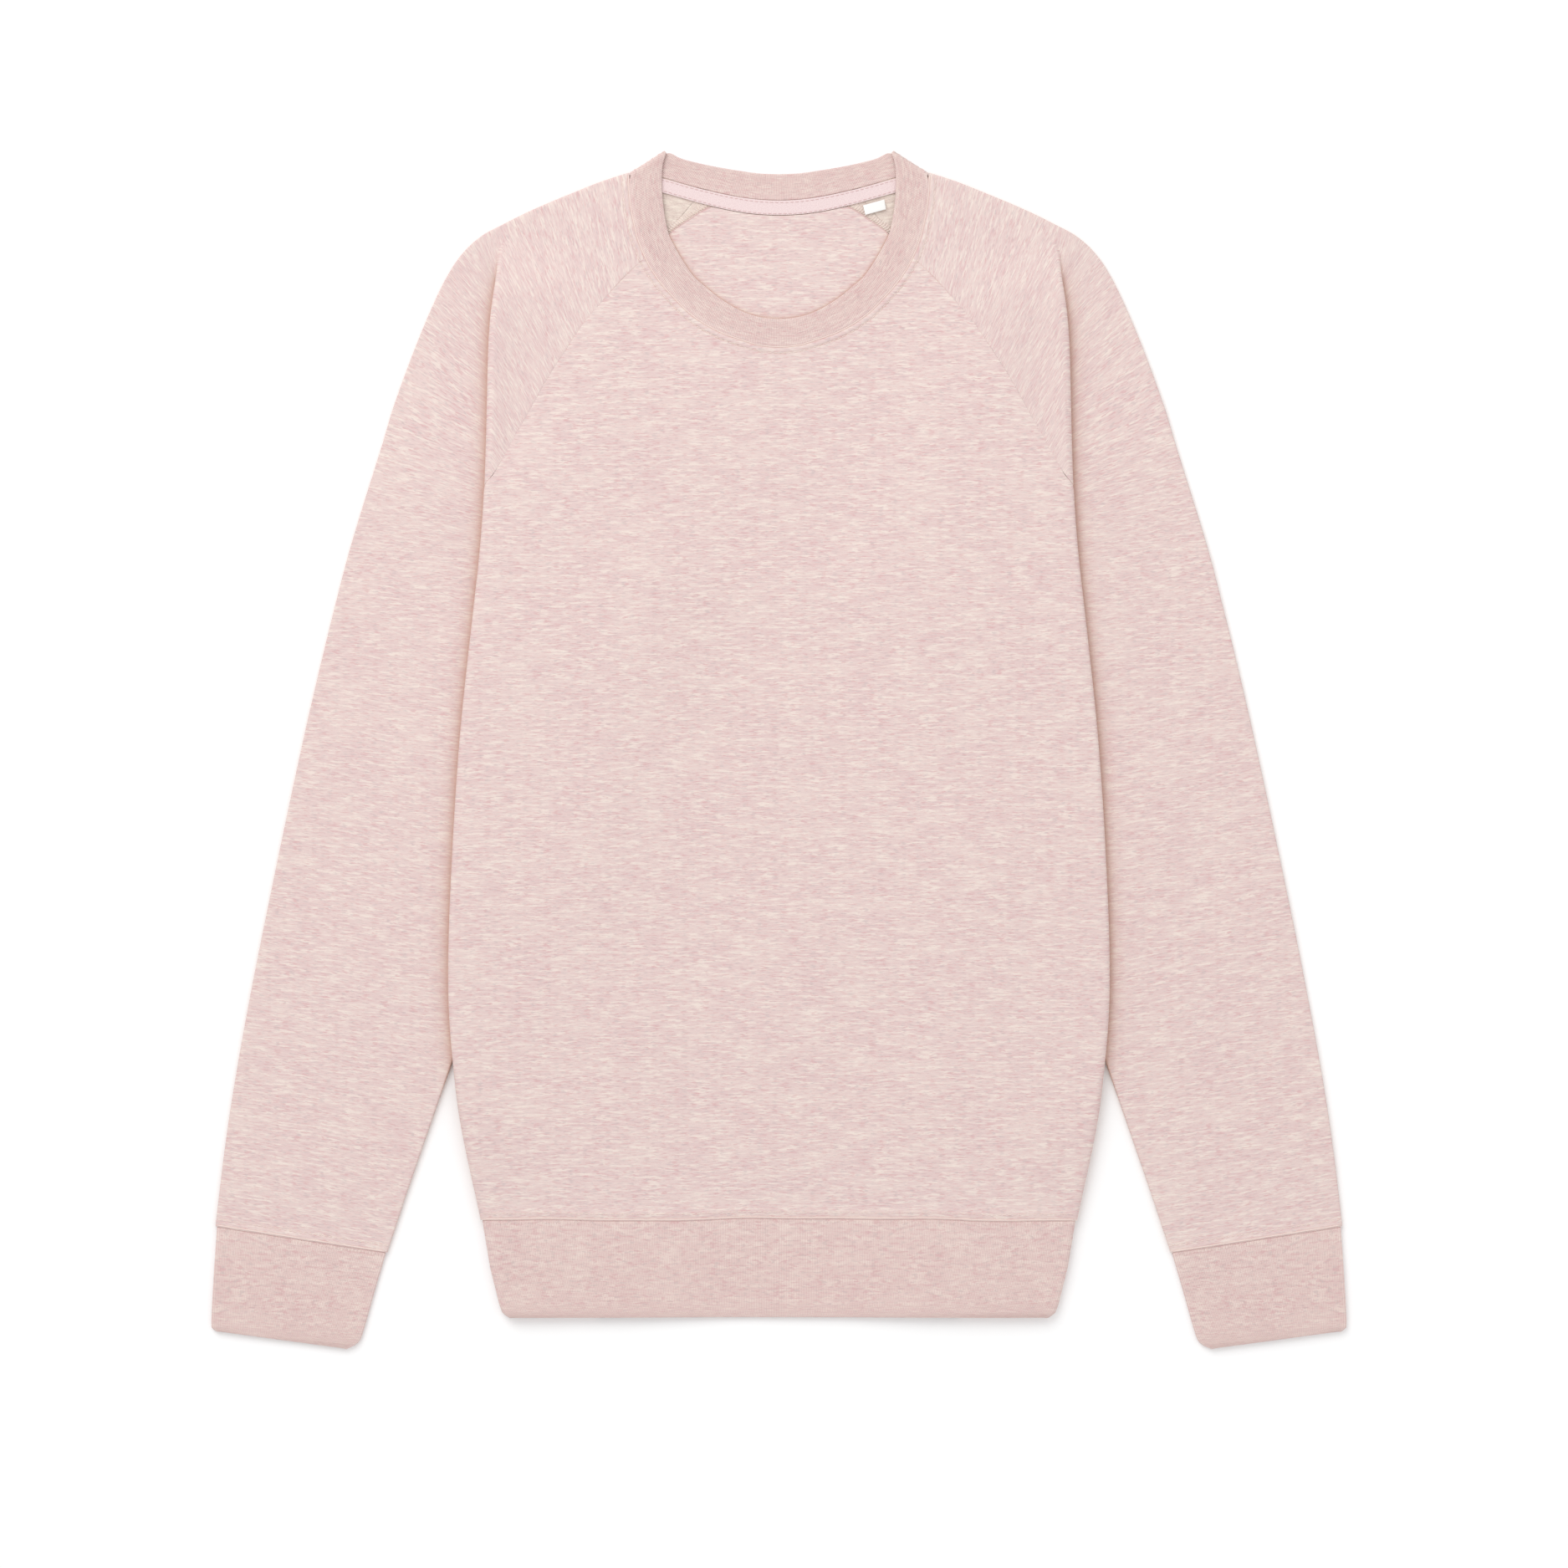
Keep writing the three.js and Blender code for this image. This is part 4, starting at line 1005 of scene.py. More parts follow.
def make_rib():
    shader = Shader("heather_rib", 0.95, 0.03)
    colour, _ = heather(shader, "rib", 0.95, 0.95)
    knit = shader.knit()
    across = shader.node("ShaderNodeSeparateXYZ", None, {"Vector": knit}).outputs["X"]
    wale = shader.math("COSINE", Value(shader, across) * (2 * math.pi / (RIB_PITCH * MM)))
    # Painted shade: the base colour is darkened between the wales, where the grooves of the ribs lie in
    # shade
    colour = shader.mix(wale.smooth(0.5, -0.9) * 0.45, colour, chosen("rib_painted_groove_shade"))
    loops = shader.noise(shader.scaled(knit, 0.5, 0.6), 1.0)
    return shader.finish(colour, loops, 0.15, 0.6)


def make_loopback():
    """The inside of the fleece: rows of small cream loops."""
    shader = Shader("loop_back", 0.95, 0.03)
    knit = shader.knit()
    loops = shader.noise(shader.scaled(knit, 1.1, 0.8), 1.0)
    tone = shader.noise(shader.scaled(knit, 6.0, 3.0), 2.0)
    colour = shader.mix(tone.smooth(0.4, 0.7), chosen("inside_base"), chosen("inside_cream"))
    return shader.finish(colour, loops, 0.45, 0.9)


def make_tape():
    shader = Shader("neck_tape", 0.8, 0.05)
    knit = shader.knit()
    weave = shader.noise(shader.scaled(knit, 0.7, 0.7), 1.0)
    colour = shader.mix(weave.smooth(0.35, 0.65), chosen("tape_base"), chosen("tape_light"))
    return shader.finish(colour, weave, 0.15, 0.6)


def make_label():
    shader = Shader("woven_label", 0.6)
    weave = shader.noise(shader.scaled(shader.knit(), 0.4, 0.4), 1.0)
    colour = shader.mix(weave, chosen("label_base"), chosen("label_light"))
    return shader.finish(colour, weave, 0.05, 0.4)


def make_thread():
    return Shader("thread", 0.7, 0.05).finish(chosen("thread"))


def make_seam_yarn():
    return Shader("seam_yarn", 0.9, 0.05).finish(chosen("seam_yarn"))


def make_pink_thread():
    return Shader("pink_thread", 0.7, 0.05).finish(chosen("pink_thread"))


MATERIALS = {
    "heather_fleece": make_fleece, "heather_rib": make_rib, "loop_back": make_loopback,
    "neck_tape": make_tape, "woven_label": make_label, "thread": make_thread,
    "pink_thread": make_pink_thread, "seam_yarn": make_seam_yarn,
}


def material(name):
    return bpy.data.materials.get(name + LOOK) or MATERIALS[name]()


def placed(piece, nodes):
    """Hides the CAD nodes that a piece shows and attaches it to the body that it rides on."""
    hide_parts(*nodes)
    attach(piece, BODY)
    return piece


def build_front():
    rows = body_grid(True)
    surface = Surface("front_cloth").mirrored(rows, grain(rows, lambda row: -row[0][1]))
    edge = both_sides(COLLAR_SEAM_LINE)
    made = cloth(surface, [material("heather_fleece"), material("loop_back")], [(edge, COLLAR_SEAM)])
    return placed(made, ["front_panel"])


def build_back():
    rows = body_grid(False)
    surface = Surface("back_cloth").mirrored(rows, grain(rows, lambda row: -row[0][1]), True)
    made = cloth(surface, [material("heather_fleece"), material("loop_back")])
    return placed(made, ["back_panel"])


def build_sleeve(side):
    rows = sleeve_grid()
    uvs = [[(u + 0.7, v + 0.3) for u, v in row] for row in grain(rows)]
    if side == "left":
        rows = [mirrored(row) for row in rows]
        uvs = [[(u + 1.3, v) for u, v in row] for row in uvs]
    surface = Surface(f"sleeve_{side}_cloth").grid(rows, uvs, side == "left")
    edge = COLLAR_SEAM_LINE if side == "right" else [(-u, y) for u, y in COLLAR_SEAM_LINE]
    made = cloth(surface, [material("heather_fleece"), material("loop_back")], [(edge, COLLAR_SEAM)])
    return placed(made, [f"sleeve_{side}"])


def smooth_line(knots, parts):
    """A line through knots in plan, curved between them, with each span divided into parts."""
    knots = np.array(knots, dtype=float)
    before = np.vstack([2 * knots[0] - knots[1], knots[:-1]])
    after = np.vstack([knots[1:], 2 * knots[-1] - knots[-2]])
    slopes = (after - before) / 2
    points = []
    for a, b, m, n in zip(knots, knots[1:], slopes, slopes[1:]):
        for s in np.arange(parts) / parts:
            s2, s3 = s * s, s**3
            points.append(
                (2 * s3 - 3 * s2 + 1) * a + (s3 - 2 * s2 + s) * m + (3 * s2 - 2 * s3) * b + (s3 - s2) * n
            )
    return [*points, knots[-1]]


def closed_ring(half):
    """The whole ring of a half that runs from the centre front to the centre back."""
    half = np.array(half, dtype=float)
    other = half[-2:0:-1] * (-1, 1, 1)
    return np.vstack([half, other])


def around(ring, at):
    """Points of a closed ring at shares of its length."""
    loop = np.vstack([ring, ring[:1]])
    run = np.concatenate([[0], np.cumsum(np.linalg.norm(np.diff(loop, axis=0), axis=1))])
    keep = np.concatenate([[True], np.diff(run) > 1e-6])
    run, loop = run[keep], loop[keep]
    return np.stack([np.interp(at * run[-1], run, loop[:, k]) for k in range(3)], axis=1), run[-1]


def unit_rows(vectors):
    return vectors / np.maximum(np.linalg.norm(vectors, axis=-1, keepdims=True), 1e-9)


def band_section(marks, last, lead, round_off):
    """One turn round a rib's wall: (place among the rails, height, distance past the edge, wale)."""
    face = [(t, 1.0, 0.0, 1.0) for t in marks]
    face[:1] = [(lead, 1.0, 0.0, SEAM_WALE), (3 * lead, 1.0, 0.0, LEAD_WALE)]
    face[-1] = (last, 1.0, -round_off, 1.0)
    edge = [(last, height, past * round_off, wale) for height, past, wale in RIB_RIM]
    back = [(t, -height, past, wale) for t, height, past, wale in face[::-1]]
    return [*face, *edge, *back, (0.0, -SEAM_TAPER, 0.0, 0.0), (0.0, SEAM_TAPER, 0.0, 0.0)]


def ring_mesh(name, rings, uvs, flip):
    """A closed wall from rings of points in metres that follow each other round its section."""
    count, size = len(rings), len(rings[0])
    mesh = bpy.data.meshes.new(name)
    k, j = np.meshgrid(np.arange(count), np.arange(size), indexing="ij")
    k2, j2 = (k + 1) % count, (j + 1) % size
    faces = np.stack([k * size + j, k * size + j2, k2 * size + j2, k2 * size + j], axis=-1).reshape(-1, 4)
    uvs = np.stack(uvs)
    corner = np.stack([uvs[k, j], uvs[k, j + 1], uvs[k2, j + 1], uvs[k2, j]], axis=2).reshape(-1, 4, 2)
    if flip:
        faces, corner = faces[:, ::-1], corner[:, ::-1]
    mesh.from_pydata(np.concatenate(rings).tolist(), [], faces.tolist())
    layer = mesh.uv_layers.new(name="grain")
    layer.data.foreach_set("uv", corner.astype(np.float32).ravel())
    mesh.polygons.foreach_set("use_smooth", np.ones(len(mesh.polygons), dtype=bool))
    return mesh


def band(name, rails, marks, thickness, depth, outward):
    """A ribbed ring with its ribs as geometry, over rails from its seam to its free edge.

    marks are the places among the rails at which the ring's faces have a row of points.
    """
    half = thickness / 2
    _, length = around(rails[0], np.zeros(1))
    ribs = round(length / RIB_PITCH)
    at = np.arange(ribs * STATIONS) / (ribs * STATIONS)
    grid = np.stack([around(rail, at)[0] for rail in rails])
    inward = unit_rows(np.gradient(grid, axis=0))
    along = np.roll(grid, -3, axis=1) - np.roll(grid, 3, axis=1)
    normal = unit_rows(np.cross(inward, along)) * outward
    rib = np.cos(2 * np.pi * np.arange(ribs * STATIONS) / STATIONS)[:, None]
    last = len(rails) - 1
    lead = RIB_LEAD / np.linalg.norm(grid[1] - grid[0], axis=1).mean()
    width = np.linalg.norm(grid[-1] - grid[0], axis=1).mean()
    rings, uvs = [], []
    for t, out, past, wale in band_section(marks, last, lead, RIB_ROUND_OFF * half):
        i = min(int(t), last - 1)
        s = t - i
        place = grid[i] * (1 - s) + grid[i + 1] * s
        face_normal = unit_rows(normal[i] * (1 - s) + normal[i + 1] * s)
        direction = inward[min(i + 1, last)] if t >= last else inward[i]
        height = out * (half - depth / 2 + depth / 2 * rib * wale)
        ring = (place + face_normal * height + direction * past) * MM
        ring[:, 2] = np.maximum(ring[:, 2], 0.0)
        rings.append(ring)
        run = np.arange(ribs * STATIONS + 1) * RIB_PITCH / STATIONS * MM
        down = (t / last * width + (1 - out) * thickness) * MM
        uvs.append(np.stack([run, np.full(len(run), down)], axis=1))
    mesh = ring_mesh(name, rings, uvs, outward < 0)
    mesh.materials.append(material("heather_rib"))
    made = bpy.data.objects.new(name, mesh)
    bpy.context.scene.collection.objects.link(made)
    return laid(made)


def rails_between(seam, free, count):
    return [seam * (1 - s) + free * s for s in np.linspace(0, 1, count)]


def collar_half(column):
    """The seam or the free edge of half a collar, from the centre front round the tip to the back."""
    radius = (COLLAR_FRONT_HEIGHT - COLLAR_BACK_HEIGHT) / 2
    middle = (COLLAR_FRONT_HEIGHT + COLLAR_BACK_HEIGHT) / 2
    seam, free = COLLAR_FRONT[-1]
    across = unit(seam[0] - free[0], seam[1] - free[1])
    outward = (-across[1], across[0])
    inset = radius + COLLAR_THICKNESS / 2
    front = [row[column] for row in COLLAR_FRONT]
    back = [row[column] for row in COLLAR_BACK]
    tip = (front[-1][0] - outward[0] * inset, front[-1][1] - outward[1] * inset)
    front[-1] = tip
    points = [(x, y, COLLAR_FRONT_HEIGHT) for x, y in smooth_line(front, COLLAR_PARTS)]
    points += turn_round(tip, outward, radius, middle, 0, math.pi, RIB_TURN)
    points += [(x, y, COLLAR_BACK_HEIGHT) for x, y in smooth_line([tip, *back], COLLAR_PARTS)[1:]]
    return closed_ring(points)


def build_collar():
    rails = rails_between(collar_half(0), collar_half(1), COLLAR_RAILS)
    marks = np.linspace(0, COLLAR_RAILS - 1, COLLAR_RAILS + 1)
    made = band("collar_ribbed", rails, marks, COLLAR_THICKNESS, COLLAR_RIB_DEPTH, 1.0)
    return placed(made, ["collar_rib"])


def hem_half(y, inset):
    fold, edge = (side_fold(y) - inset, y), (flap_edge(y) + TUBE_EDGE, y)
    top, low = front_top(*fold), front_flap(*fold)
    in_top, in_low = back_top(*fold), back_flap(*fold)
    points = [(0.0, y, front_top(0, y)), *ramped_leg((0.0, y), fold, HEM_TOP, front_top)]
    points += turn_round(fold, (1, 0), (top - low) / 2, (top + low) / 2, 0, math.pi, RIB_TURN)
    points += ramped_leg(fold, edge, HEM_FLAP, front_flap, (sleeve_edge,))
    middle = front_flap(*edge) + TUBE_FOLD
    points += turn_round(edge, (-1, 0), TUBE_FOLD, middle, math.pi, 0, HEM_FLAP)
    points += ramped_leg(edge, fold, HEM_FLAP, back_flap, (sleeve_edge,))
    points += turn_round(fold, (1, 0), (in_top - in_low) / 2, (in_top + in_low) / 2, math.pi, 0, HEM_FLAP)
    return points + ramped_leg(fold, (0.0, y), HEM_TOP, back_top)


def build_hem():
    rails = [closed_ring(hem_half(y, inset)) for y, inset in smooth_line(HEM_ROWS, RIB_PARTS)]
    made = band("hem_ribbed", rails, HEM_MARKS, CLOTH, RIB_DEPTH, 1.0)
    return placed(made, ["hem_band"])


def build_cuff(side):
    inner, outer = (smooth_line([row[k] for row in CUFF_ROWS], RIB_PARTS) for k in (0, 1))
    rails = [np.array(tube_row(tuple(a), tuple(b), 0)[:-1]) for a, b in zip(inner, outer)]
    if side == "left":
        rails = [rail * (-1, 1, 1) for rail in rails]
    outward = 1.0 if side == "right" else -1.0
    made = band(f"cuff_{side}_ribbed", rails, range(len(rails)), CLOTH, RIB_DEPTH, outward)
    return placed(made, [f"cuff_{side}"])


def top_of(pieces, x, y):
    """The height of the topmost piece at a place in plan, in metres, or None."""
    heights = []
    for piece in pieces:
        hit, place, _, _ = piece.ray_cast(Vector((x, y, 0.05)), Vector((0, 0, -1)))
        if hit:
            heights.append(place.z)
    return max(heights, default=None)


def joined_tubes(name, paths, radius, thread):
    """One mesh of a closed tube with rounded ends for each path of 3-D points, in metres."""
    points, faces = [], []
    sides = THREAD_SIDES
    ring = np.arange(sides) * 2 * np.pi / sides
    for path in paths:
        path = np.array(path)
        along = unit_rows(np.gradient(path, axis=0))
        up = np.array([0.0, 0.0, 1.0])
        side = unit_rows(np.cross(along, up))
        above = np.cross(side, along)
        ends = np.ones(len(path))
        ends[0] = ends[-1] = THREAD_TIP
        start = len(points)
        for place, a, b, size in zip(path, side, above, ends):
            for turn in ring:
                points.append(place + (a * math.cos(turn) + b * math.sin(turn)) * radius * size)
        for i in range(len(path) - 1):
            for k in range(sides):
                p, q = start + i * sides + k, start + i * sides + (k + 1) % sides
                faces.append((p, q, q + sides, p + sides))
        faces.append(tuple(start + k for k in range(sides - 1, -1, -1)))
        faces.append(tuple(start + (len(path) - 1) * sides + k for k in range(sides)))
    mesh = bpy.data.meshes.new(name)
    mesh.from_pydata([tuple(p) for p in points], [], faces)
    mesh.polygons.foreach_set("use_smooth", np.ones(len(mesh.polygons), dtype=bool))
    mesh.materials.append(material(thread))
    made = bpy.data.objects.new(name, mesh)
    bpy.context.scene.collection.objects.link(made)
    return made


def stitch_paths(line, pieces):
    """Short sunk-ended stitches along a line in plan, on top of the pieces below it."""
    stitch, gap = chosen_length("stitch_length"), chosen_length("stitch_gap")
    line = np.array(line, dtype=float)
    run = np.concatenate([[0], np.cumsum(np.linalg.norm(np.diff(line, axis=0), axis=1))])
    paths = []
    for start in np.arange(0.0, run[-1] - stitch, stitch + gap):
        path = []
        for share, height in STITCH_ARCH:
            at = start + stitch * share
            x, y = np.interp(at, run, line[:, 0]) * MM, np.interp(at, run, line[:, 1]) * MM
            z = top_of(pieces, x, y)
            if z is not None:
                path.append((x, y, z + STITCH_RISE * height * MM))
        if len(path) == len(STITCH_ARCH) and abs(path[0][2] - path[-1][2]) < STEEPEST * stitch * MM:
            paths.append(path)
    return paths


def offset_line(line, distance):
    """A line in plan moved to its right-hand side."""
    line = np.array(line, dtype=float)
    along = unit_rows(np.gradient(line, axis=0))
    return line + np.stack([along[:, 1], -along[:, 0]], axis=1) * distance


def flat_strip(name, rows, thickness, slot, node, mirror=True):
    """A flat trim made from rows of points, the same thickness throughout."""
    surface = Surface(name)
    uvs = [[(x * MM, y * MM) for x, y, _ in row] for row in rows]
    surface = surface.mirrored(rows, uvs) if mirror else surface.grid(rows, uvs)
    made = surface.object()
    made.data.materials.append(material(slot))
    shell = ("SOLIDIFY", {"thickness": thickness * MM, "offset": 0.0})
    rim = ("BEVEL", {"width": TRIM_RIM * MM, "segments": 2, "limit_method": "ANGLE", "angle_limit": 1.0})
    modified(made, ("SUBSURF", {"levels": 2, "boundary_smooth": "PRESERVE_CORNERS"}), shell, rim)
    return placed(laid(rest_on_table(made)), [node])


def build_half_moon():
    def height(u, y):
        return back_top(u, y) + CLOTH / 2 + TRIM_GAP + TRIM_THICKNESS / 2

    columns = [[(u, upper, height(u, upper)), *leg((u, upper), (u, lower), 8, height)]
               for u, upper, lower in HALF_MOON]
    rows = [list(row) for row in zip(*columns)]
    return flat_strip("half_moon_patch", rows, TRIM_THICKNESS, "heather_fleece", "half_moon")


def build_tape():
    columns = [[(*upper, TRIM_HEIGHT), *leg(upper, lower, 2, lambda u, y: TRIM_HEIGHT)]
               for upper, lower in TAPE]
    rows = [list(row) for row in zip(*columns)]
    return flat_strip("neck_tape_strip", rows, TRIM_THICKNESS, "neck_tape", "neck_tape")


def build_label():
    a, b, c, d = ((x, y, LABEL_HEIGHT) for x, y in LABEL_CORNERS)
    rows = [[a, b], [d, c]]
    return flat_strip("size_label_tab", rows, LABEL_THICKNESS, "woven_label", "size_label", False)


def both_sides(line):
    return [(-u, y) for u, y in line[:0:-1]] + list(line)


def sewn(name, paths, radius, thread="thread"):
    made = joined_tubes(name, paths, radius * MM, thread)
    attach(made, BODY)
    return made


def sew_collar(cloths):
    line = offset_line(smooth_line(both_sides(COLLAR_SEAM_LINE), 4), COLLAR_STITCH)
    return sewn("collar_topstitch", stitch_paths(line, cloths), chosen_length("thread_radius"))


def sew_collar_roll(cloths):
    seam = smooth_line(both_sides(COLLAR_SEAM_LINE), 4)
    paths = [laid_line(seam, cloths, COLLAR_ROLL_RISE)]
    return sewn("collar_seam_roll", paths, COLLAR_ROLL, thread="seam_yarn")


def sew_rib_seam(name, stitch_line, seam, down, cloth, rib):
    """The topstitching above a rib, the roll and the sunk thread of its seam, and its short ties."""
    paths = stitch_paths(stitch_line, [cloth])
    made = [sewn(f"{name}_topstitch", paths, chosen_length("thread_radius"))]
    roll = seam + (0, SEAM_ROLL)
    raised = laid_line(roll, [cloth], ROLL_RISE)
    made.append(sewn(f"{name}_seam_roll", [raised], RIB_ROLL, thread="seam_yarn"))
    sunk = np.array(laid_line(roll, [cloth], -SEAM_DEPTH)) - (0, (SEAM_ROLL + TRIM_GAP / 2) * MM, 0)
    made.append(sewn(f"{name}_seam_thread", [sunk], SUNK_THREAD, thread="pink_thread"))
    ticks = tick_paths(seam, down, [rib])
    made.append(sewn(f"{name}_ticks", ticks, TICK_THREAD, "seam_yarn"))
    return made


def sew_hem():
    reach = side_fold(HEM_STITCH_Y) + 1
    across = np.linspace(-reach, reach, HEM_SEAM_POINTS)
    _, wave = settle(across * MM, np.full(HEM_SEAM_POINTS, HEM_STITCH_Y * MM))
    stitches = np.stack([across, HEM_STITCH_Y + wave / MM], axis=1)
    seam = stitches + (0, HEM_SEAM_Y - HEM_STITCH_Y)
    front, rib = bpy.data.objects["front_cloth"], bpy.data.objects["hem_ribbed"]
    return sew_rib_seam("hem", stitches, seam, (0, -1), front, rib)


def sew_cuff(side):
    sign = 1 if side == "right" else -1

    def ends(row):
        """The two ends in plan of a row of the sleeve's tube, just inside its edges."""
        inner_y, outer_y = row
        inner = (sign * (sleeve_edge(inner_y) + 1), inner_y)
        return np.array([inner, (sign * (curve_at(SLEEVE_OUTER, outer_y) - 1), outer_y)])

    a, b = ends(TUBE_ROWS[-1])
    seam = np.array([a + (b - a) * k / CUFF_SEAM_PARTS for k in range(CUFF_SEAM_PARTS + 1)])
    down = unit(sign * (b[1] - a[1]), -abs(b[0] - a[0]))
    cloth, rib = bpy.data.objects[f"sleeve_{side}_cloth"], bpy.data.objects[f"cuff_{side}_ribbed"]
    return sew_rib_seam(f"cuff_{side}", ends(TUBE_ROWS[-3]), seam, down, cloth, rib)


def sew_half_moon(cloths):
    edges, locks = [], []
    patch = bpy.data.objects["half_moon_patch"]
    for sign in (1, -1):
        edge = smooth_line([(sign * u, upper) for u, upper, _ in HALF_MOON[3:]], 5)
        # The pink thread along the patch's edge is partly its edge stitching and partly a painted shadow
        # line along the patch's folded edge
        edges.append(laid_line(offset_line(edge, sign * EDGE_INSET), [patch], 0.0))
        locks += overlock_paths(edge, cloths, -sign * OVERLOCK_WIDTH)
    made = [sewn("half_moon_edge", edges, EDGE_THREAD, thread="pink_thread")]
    made.append(sewn("half_moon_overlock", locks, OVERLOCK_THREAD))
    return made


def sew_tape():
    made = []
    tape = bpy.data.objects["neck_tape_strip"]
    for name, column, inset in (("upper", 0, TAPE_INSET), ("lower", 1, -TAPE_INSET)):
        line = smooth_line(both_sides([row[column] for row in TAPE]), 4)
        paths = stitch_paths(offset_line(line, inset), [tape])
        made.append(sewn(f"tape_{name}_stitch", paths, TAPE_THREAD, "pink_thread"))
    return made


def build_sewing():
    """Topstitching and seams of the collar, hem and cuffs, the overlock and the tape's stitches."""
    front, back, *sleeves = (
        bpy.data.objects[f"{name}_cloth"] for name in ("front", "back", "sleeve_right", "sleeve_left")
    )
    made = [sew_collar([front, *sleeves]), *sew_hem(), *sew_cuff("right"), *sew_cuff("left")]
    return [*made, sew_collar_roll([front, *sleeves]), *sew_half_moon([back, *sleeves]), *sew_tape()]


def tick_paths(line, down, pieces):
    """Short threads that cross from a seam on to the rib beside it."""
    line = np.array(line, dtype=float)
    run = np.concatenate([[0], np.cumsum(np.linalg.norm(np.diff(line, axis=0), axis=1))])
    paths = []
    for at in np.arange(TICK_PITCH, run[-1] - TICK_PITCH, TICK_PITCH):
        foot = np.array([np.interp(at, run, line[:, k]) for k in (0, 1)])
        steps = [foot + np.array(down) * (TICK_START + TICK_LENGTH * share) for share in TICK_SHARES]
        path = laid_line(steps, pieces, STITCH_RISE)
        if len(path) == len(TICK_SHARES) and abs(path[0][2] - path[-1][2]) < STEEPEST * TICK_LENGTH * MM:
            paths.append(path)
    return paths


def laid_line(line, pieces, rise):
    """A line in plan as points on top of the pieces below it."""
    heights = [(x * MM, y * MM, top_of(pieces, x * MM, y * MM)) for x, y in line]
    return [(x, y, z + rise * MM) for x, y, z in heights if z is not None]


def overlock_paths(line, pieces, width):
    """Threads that cross to and fro over the edge of a seam allowance."""
    line = np.array(line, dtype=float)
    run = np.concatenate([[0], np.cumsum(np.linalg.norm(np.diff(line, axis=0), axis=1))])
    outer = offset_line(line, width)
    paths = []
    for at in np.arange(OVERLOCK_PITCH / 3, run[-1] - OVERLOCK_PITCH, OVERLOCK_PITCH):
        path = []
        for s in np.linspace(0, 1, OVERLOCK_POINTS):
            near, far = at + OVERLOCK_PITCH / 2 * s, at + OVERLOCK_PITCH / 2
            a = np.array([np.interp(near, run, line[:, k]) for k in (0, 1)])
            b = np.array([np.interp(far, run, outer[:, k]) for k in (0, 1)])
            x, y = (a + (b - a) * s) * MM
            z = top_of(pieces, x, y)
            if z is not None:
                path.append((x, y, z + OVERLOCK_RISE * MM))
        if len(path) == OVERLOCK_POINTS:
            paths.append(path)
    return paths


def build_stage(settings):
    """The table, the camera over it and an even soft light."""
    scene = bpy.context.scene
    bpy.ops.mesh.primitive_plane_add(size=TABLE_SIZE, location=(0, 0, -TABLE_DROP))
    table = bpy.context.object
    table.name = "table"
    paper = Shader("table_paper", 0.9)
    table.data.materials.append(paper.finish(srgb(254, 254, 254)))
    camera = bpy.data.objects.new("camera", bpy.data.cameras.new("camera"))
    scene.collection.objects.link(camera)
    camera.data.lens = CAMERA_LENS
    camera.data.sensor_width = 36.0
    camera.data.clip_end = 20.0
    camera.location = (CAMERA_X, CAMERA_Y, CAMERA_HEIGHT)
    scene.camera = camera
    for name, place, size in LAMPS:
        light = bpy.data.lights.new(f"{name}_softbox", "AREA")
        light.shape = "SQUARE"
        light.size = size
        light.energy = getattr(settings, f"{name}_power")
        lamp = bpy.data.objects.new(f"{name}_softbox", light)
        lamp.location = place
        lamp.rotation_euler = (Vector((0, 0, 0)) - Vector(place)).to_track_quat("-Z", "Y").to_euler()
        scene.collection.objects.link(lamp)
    world = bpy.data.worlds.new("studio")
    world.use_nodes = True
    background = world.node_tree.nodes["Background"]
    background.inputs["Color"].default_value = (1, 1, 1, 1)
    background.inputs["Strength"].default_value = settings.world_strength
    scene.world = world
    scene.view_settings.view_transform = "Standard"
    scene.view_settings.look = "None"


def colour_property(name, description, shade):
    return bpy.props.FloatVectorProperty(
        name=name, description=description, subtype="COLOR", size=4, min=0.0, max=1.0, default=srgb(*shade),
    )


def length_property(name, description, millimetres):
    return bpy.props.FloatProperty(
        name=name, description=description, unit="LENGTH", precision=5, min=0.0001, default=millimetres * MM,
    )


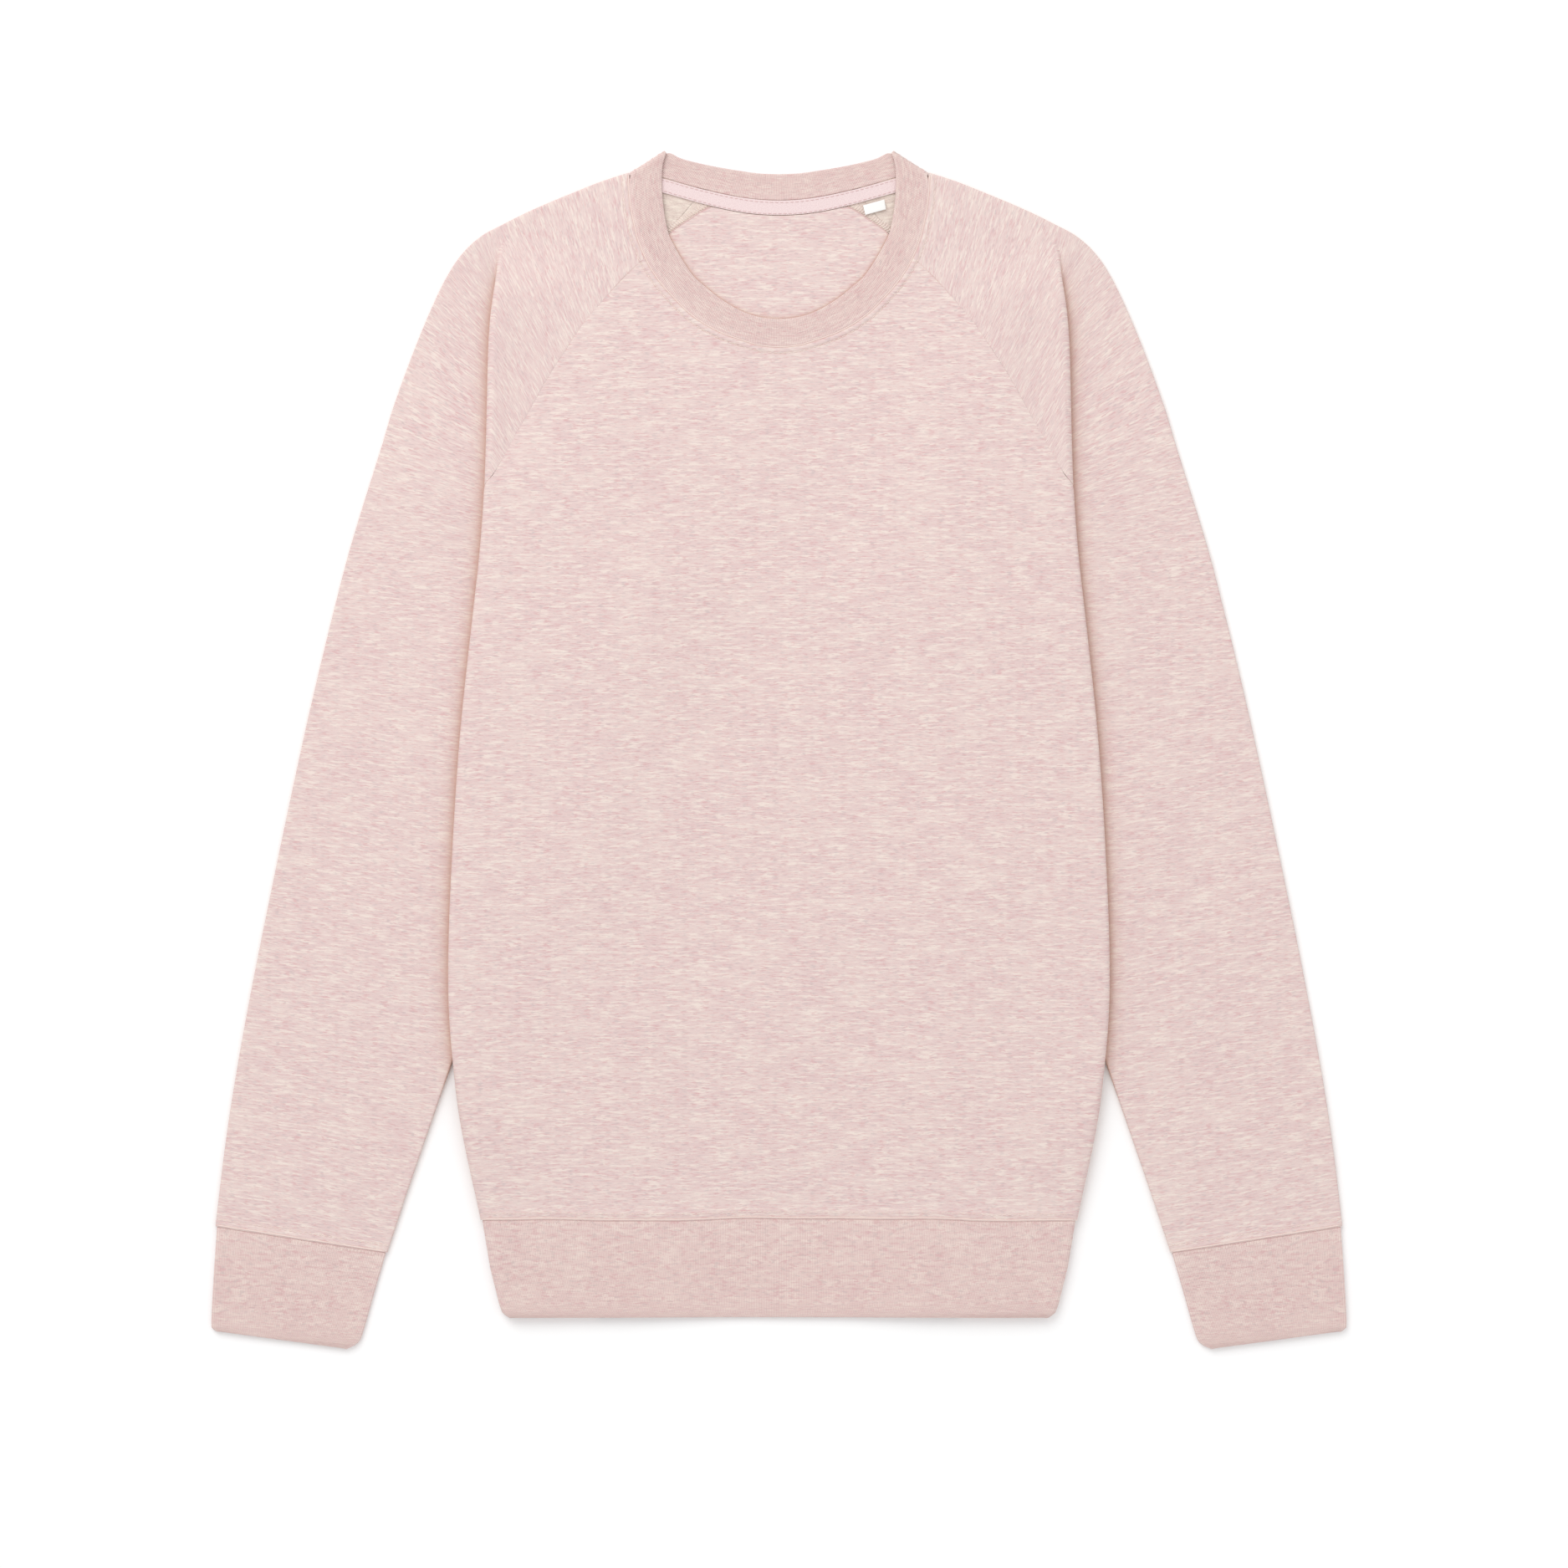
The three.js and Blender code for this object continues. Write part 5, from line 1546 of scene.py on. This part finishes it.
class SweatshirtSettings(bpy.types.PropertyGroup):
    stitch_length: length_property("Stitch", "Length of a stitch of the topstitching", STITCH)
    stitch_gap: length_property("Stitch gap", "Space between two stitches", STITCH_GAP)
    thread_radius: length_property("Thread radius", "Radius of the topstitching's thread", THREAD)
    fleece_base: colour_property("Fleece", "Ground of the body and sleeves", (222, 198, 195))
    fleece_cream: colour_property("Fleece cream", "Cream fibres in the fleece", (237, 224, 214))
    fleece_pink: colour_property("Fleece pink", "Pink fibres in the fleece", (214, 175, 175))
    fleece_grey: colour_property("Fleece grey", "Grey fibres in the fleece", (203, 185, 184))
    # Painted shade: the warm darker colour that the fleece is mixed towards in occluded creases
    fleece_painted_crease_shade: colour_property("Fleece crease", "Warm shade deep in a crease", (208, 168, 148))
    rib_base: colour_property("Rib", "Ground of the collar, hem and cuffs", (226, 203, 198))
    rib_cream: colour_property("Rib cream", "Cream fibres in the rib", (238, 223, 214))
    rib_pink: colour_property("Rib pink", "Pink fibres in the rib", (215, 178, 178))
    rib_grey: colour_property("Rib grey", "Grey fibres in the rib", (206, 189, 186))
    # Painted shade: the darker colour that the rib is mixed towards between its wales
    rib_painted_groove_shade: colour_property("Rib groove", "Shade between two wales", (205, 170, 167))
    inside_base: colour_property("Inside", "Ground of the loops on the inside", (226, 208, 198))
    inside_cream: colour_property("Inside cream", "Lighter loops on the inside", (236, 222, 210))
    tape_base: colour_property("Tape", "Ground of the neck tape", (227, 205, 205))
    tape_light: colour_property("Tape light", "Raised threads of the neck tape", (235, 215, 214))
    label_base: colour_property("Label", "Ground of the size label", (238, 236, 233))
    label_light: colour_property("Label light", "Raised threads of the size label", (246, 245, 243))
    thread: colour_property("Thread", "Topstitching and overlock", (240, 226, 219))
    seam_yarn: colour_property("Seam yarn", "Rolls along the seams and ties on the ribs", (235, 215, 208))
    pink_thread: colour_property("Pink thread", "Threads of the tape and in the seams", (219, 188, 186))


class SweatshirtStageSettings(bpy.types.PropertyGroup):
    key_power: bpy.props.FloatProperty(
        name="Key light", description="Power of the softbox beyond the neck", default=28.0, min=0.0,
    )
    fill_power: bpy.props.FloatProperty(
        name="Fill light", description="Power of the softbox at the lower right", default=3.0, min=0.0,
    )
    world_strength: bpy.props.FloatProperty(
        name="Even light", description="Strength of the white light from all round", default=0.81, min=0.0,
    )


class SWEATSHIRT_OT_body(bpy.types.Operator):
    """Builds the front and back of the body, folded under at the sides"""

    bl_idname = "sweatshirt.body"
    bl_label = "Build body"

    def execute(self, context):
        build_back()
        build_front()
        return {"FINISHED"}


class SWEATSHIRT_OT_sleeves(bpy.types.Operator):
    """Builds the raglan sleeves, pleated under the body"""

    bl_idname = "sweatshirt.sleeves"
    bl_label = "Build sleeves"

    def execute(self, context):
        for side in ("right", "left"):
            build_sleeve(side)
        return {"FINISHED"}


class SWEATSHIRT_OT_ribs(bpy.types.Operator):
    """Builds the ribbed collar, hem and cuffs"""

    bl_idname = "sweatshirt.ribs"
    bl_label = "Build ribs"

    def execute(self, context):
        build_collar()
        build_hem()
        for side in ("right", "left"):
            build_cuff(side)
        return {"FINISHED"}


class SWEATSHIRT_OT_neck(bpy.types.Operator):
    """Builds the half-moon, the neck tape and the bare size label"""

    bl_idname = "sweatshirt.neck"
    bl_label = "Build neck finishing"

    def execute(self, context):
        build_half_moon()
        build_tape()
        build_label()
        return {"FINISHED"}


class SWEATSHIRT_OT_sewing(bpy.types.Operator):
    """Sews the topstitching and the overlock on the cloth that is already built"""

    bl_idname = "sweatshirt.sewing"
    bl_label = "Sew"

    def execute(self, context):
        build_sewing()
        return {"FINISHED"}


class SWEATSHIRT_OT_stage(bpy.types.Operator):
    """Sets up the table, the camera and the lights"""

    bl_idname = "sweatshirt.stage"
    bl_label = "Set up studio"

    def execute(self, context):
        build_stage(context.scene.sweatshirt_stage)
        return {"FINISHED"}


class SWEATSHIRT_PT_panel(bpy.types.Panel):
    bl_idname = "SWEATSHIRT_PT_panel"
    bl_label = "Sweatshirt"
    bl_space_type = "VIEW_3D"
    bl_region_type = "UI"
    bl_category = "Sweatshirt"

    def draw(self, context):
        for settings in (context.scene.sweatshirt, context.scene.sweatshirt_stage):
            for name in type(settings).__annotations__:
                self.layout.prop(settings, name)
        for operator in OPERATORS:
            self.layout.operator(operator.bl_idname)


OPERATORS = (
    SWEATSHIRT_OT_body, SWEATSHIRT_OT_sleeves, SWEATSHIRT_OT_ribs, SWEATSHIRT_OT_neck,
    SWEATSHIRT_OT_sewing, SWEATSHIRT_OT_stage,
)
CLASSES = (SweatshirtSettings, SweatshirtStageSettings, *OPERATORS, SWEATSHIRT_PT_panel)


def register():
    for cls in CLASSES:
        bpy.utils.register_class(cls)
    bpy.types.Scene.sweatshirt = bpy.props.PointerProperty(type=SweatshirtSettings)
    bpy.types.Scene.sweatshirt_stage = bpy.props.PointerProperty(type=SweatshirtStageSettings)


def unregister():
    del bpy.types.Scene.sweatshirt_stage
    del bpy.types.Scene.sweatshirt
    for cls in reversed(CLASSES):
        bpy.utils.unregister_class(cls)


def main():
    register()
    bpy.ops.sweatshirt.body()
    bpy.ops.sweatshirt.sleeves()
    bpy.ops.sweatshirt.ribs()
    bpy.ops.sweatshirt.neck()
    bpy.ops.sweatshirt.sewing()
    bpy.ops.sweatshirt.stage()


if __name__ == "__main__":
    main()
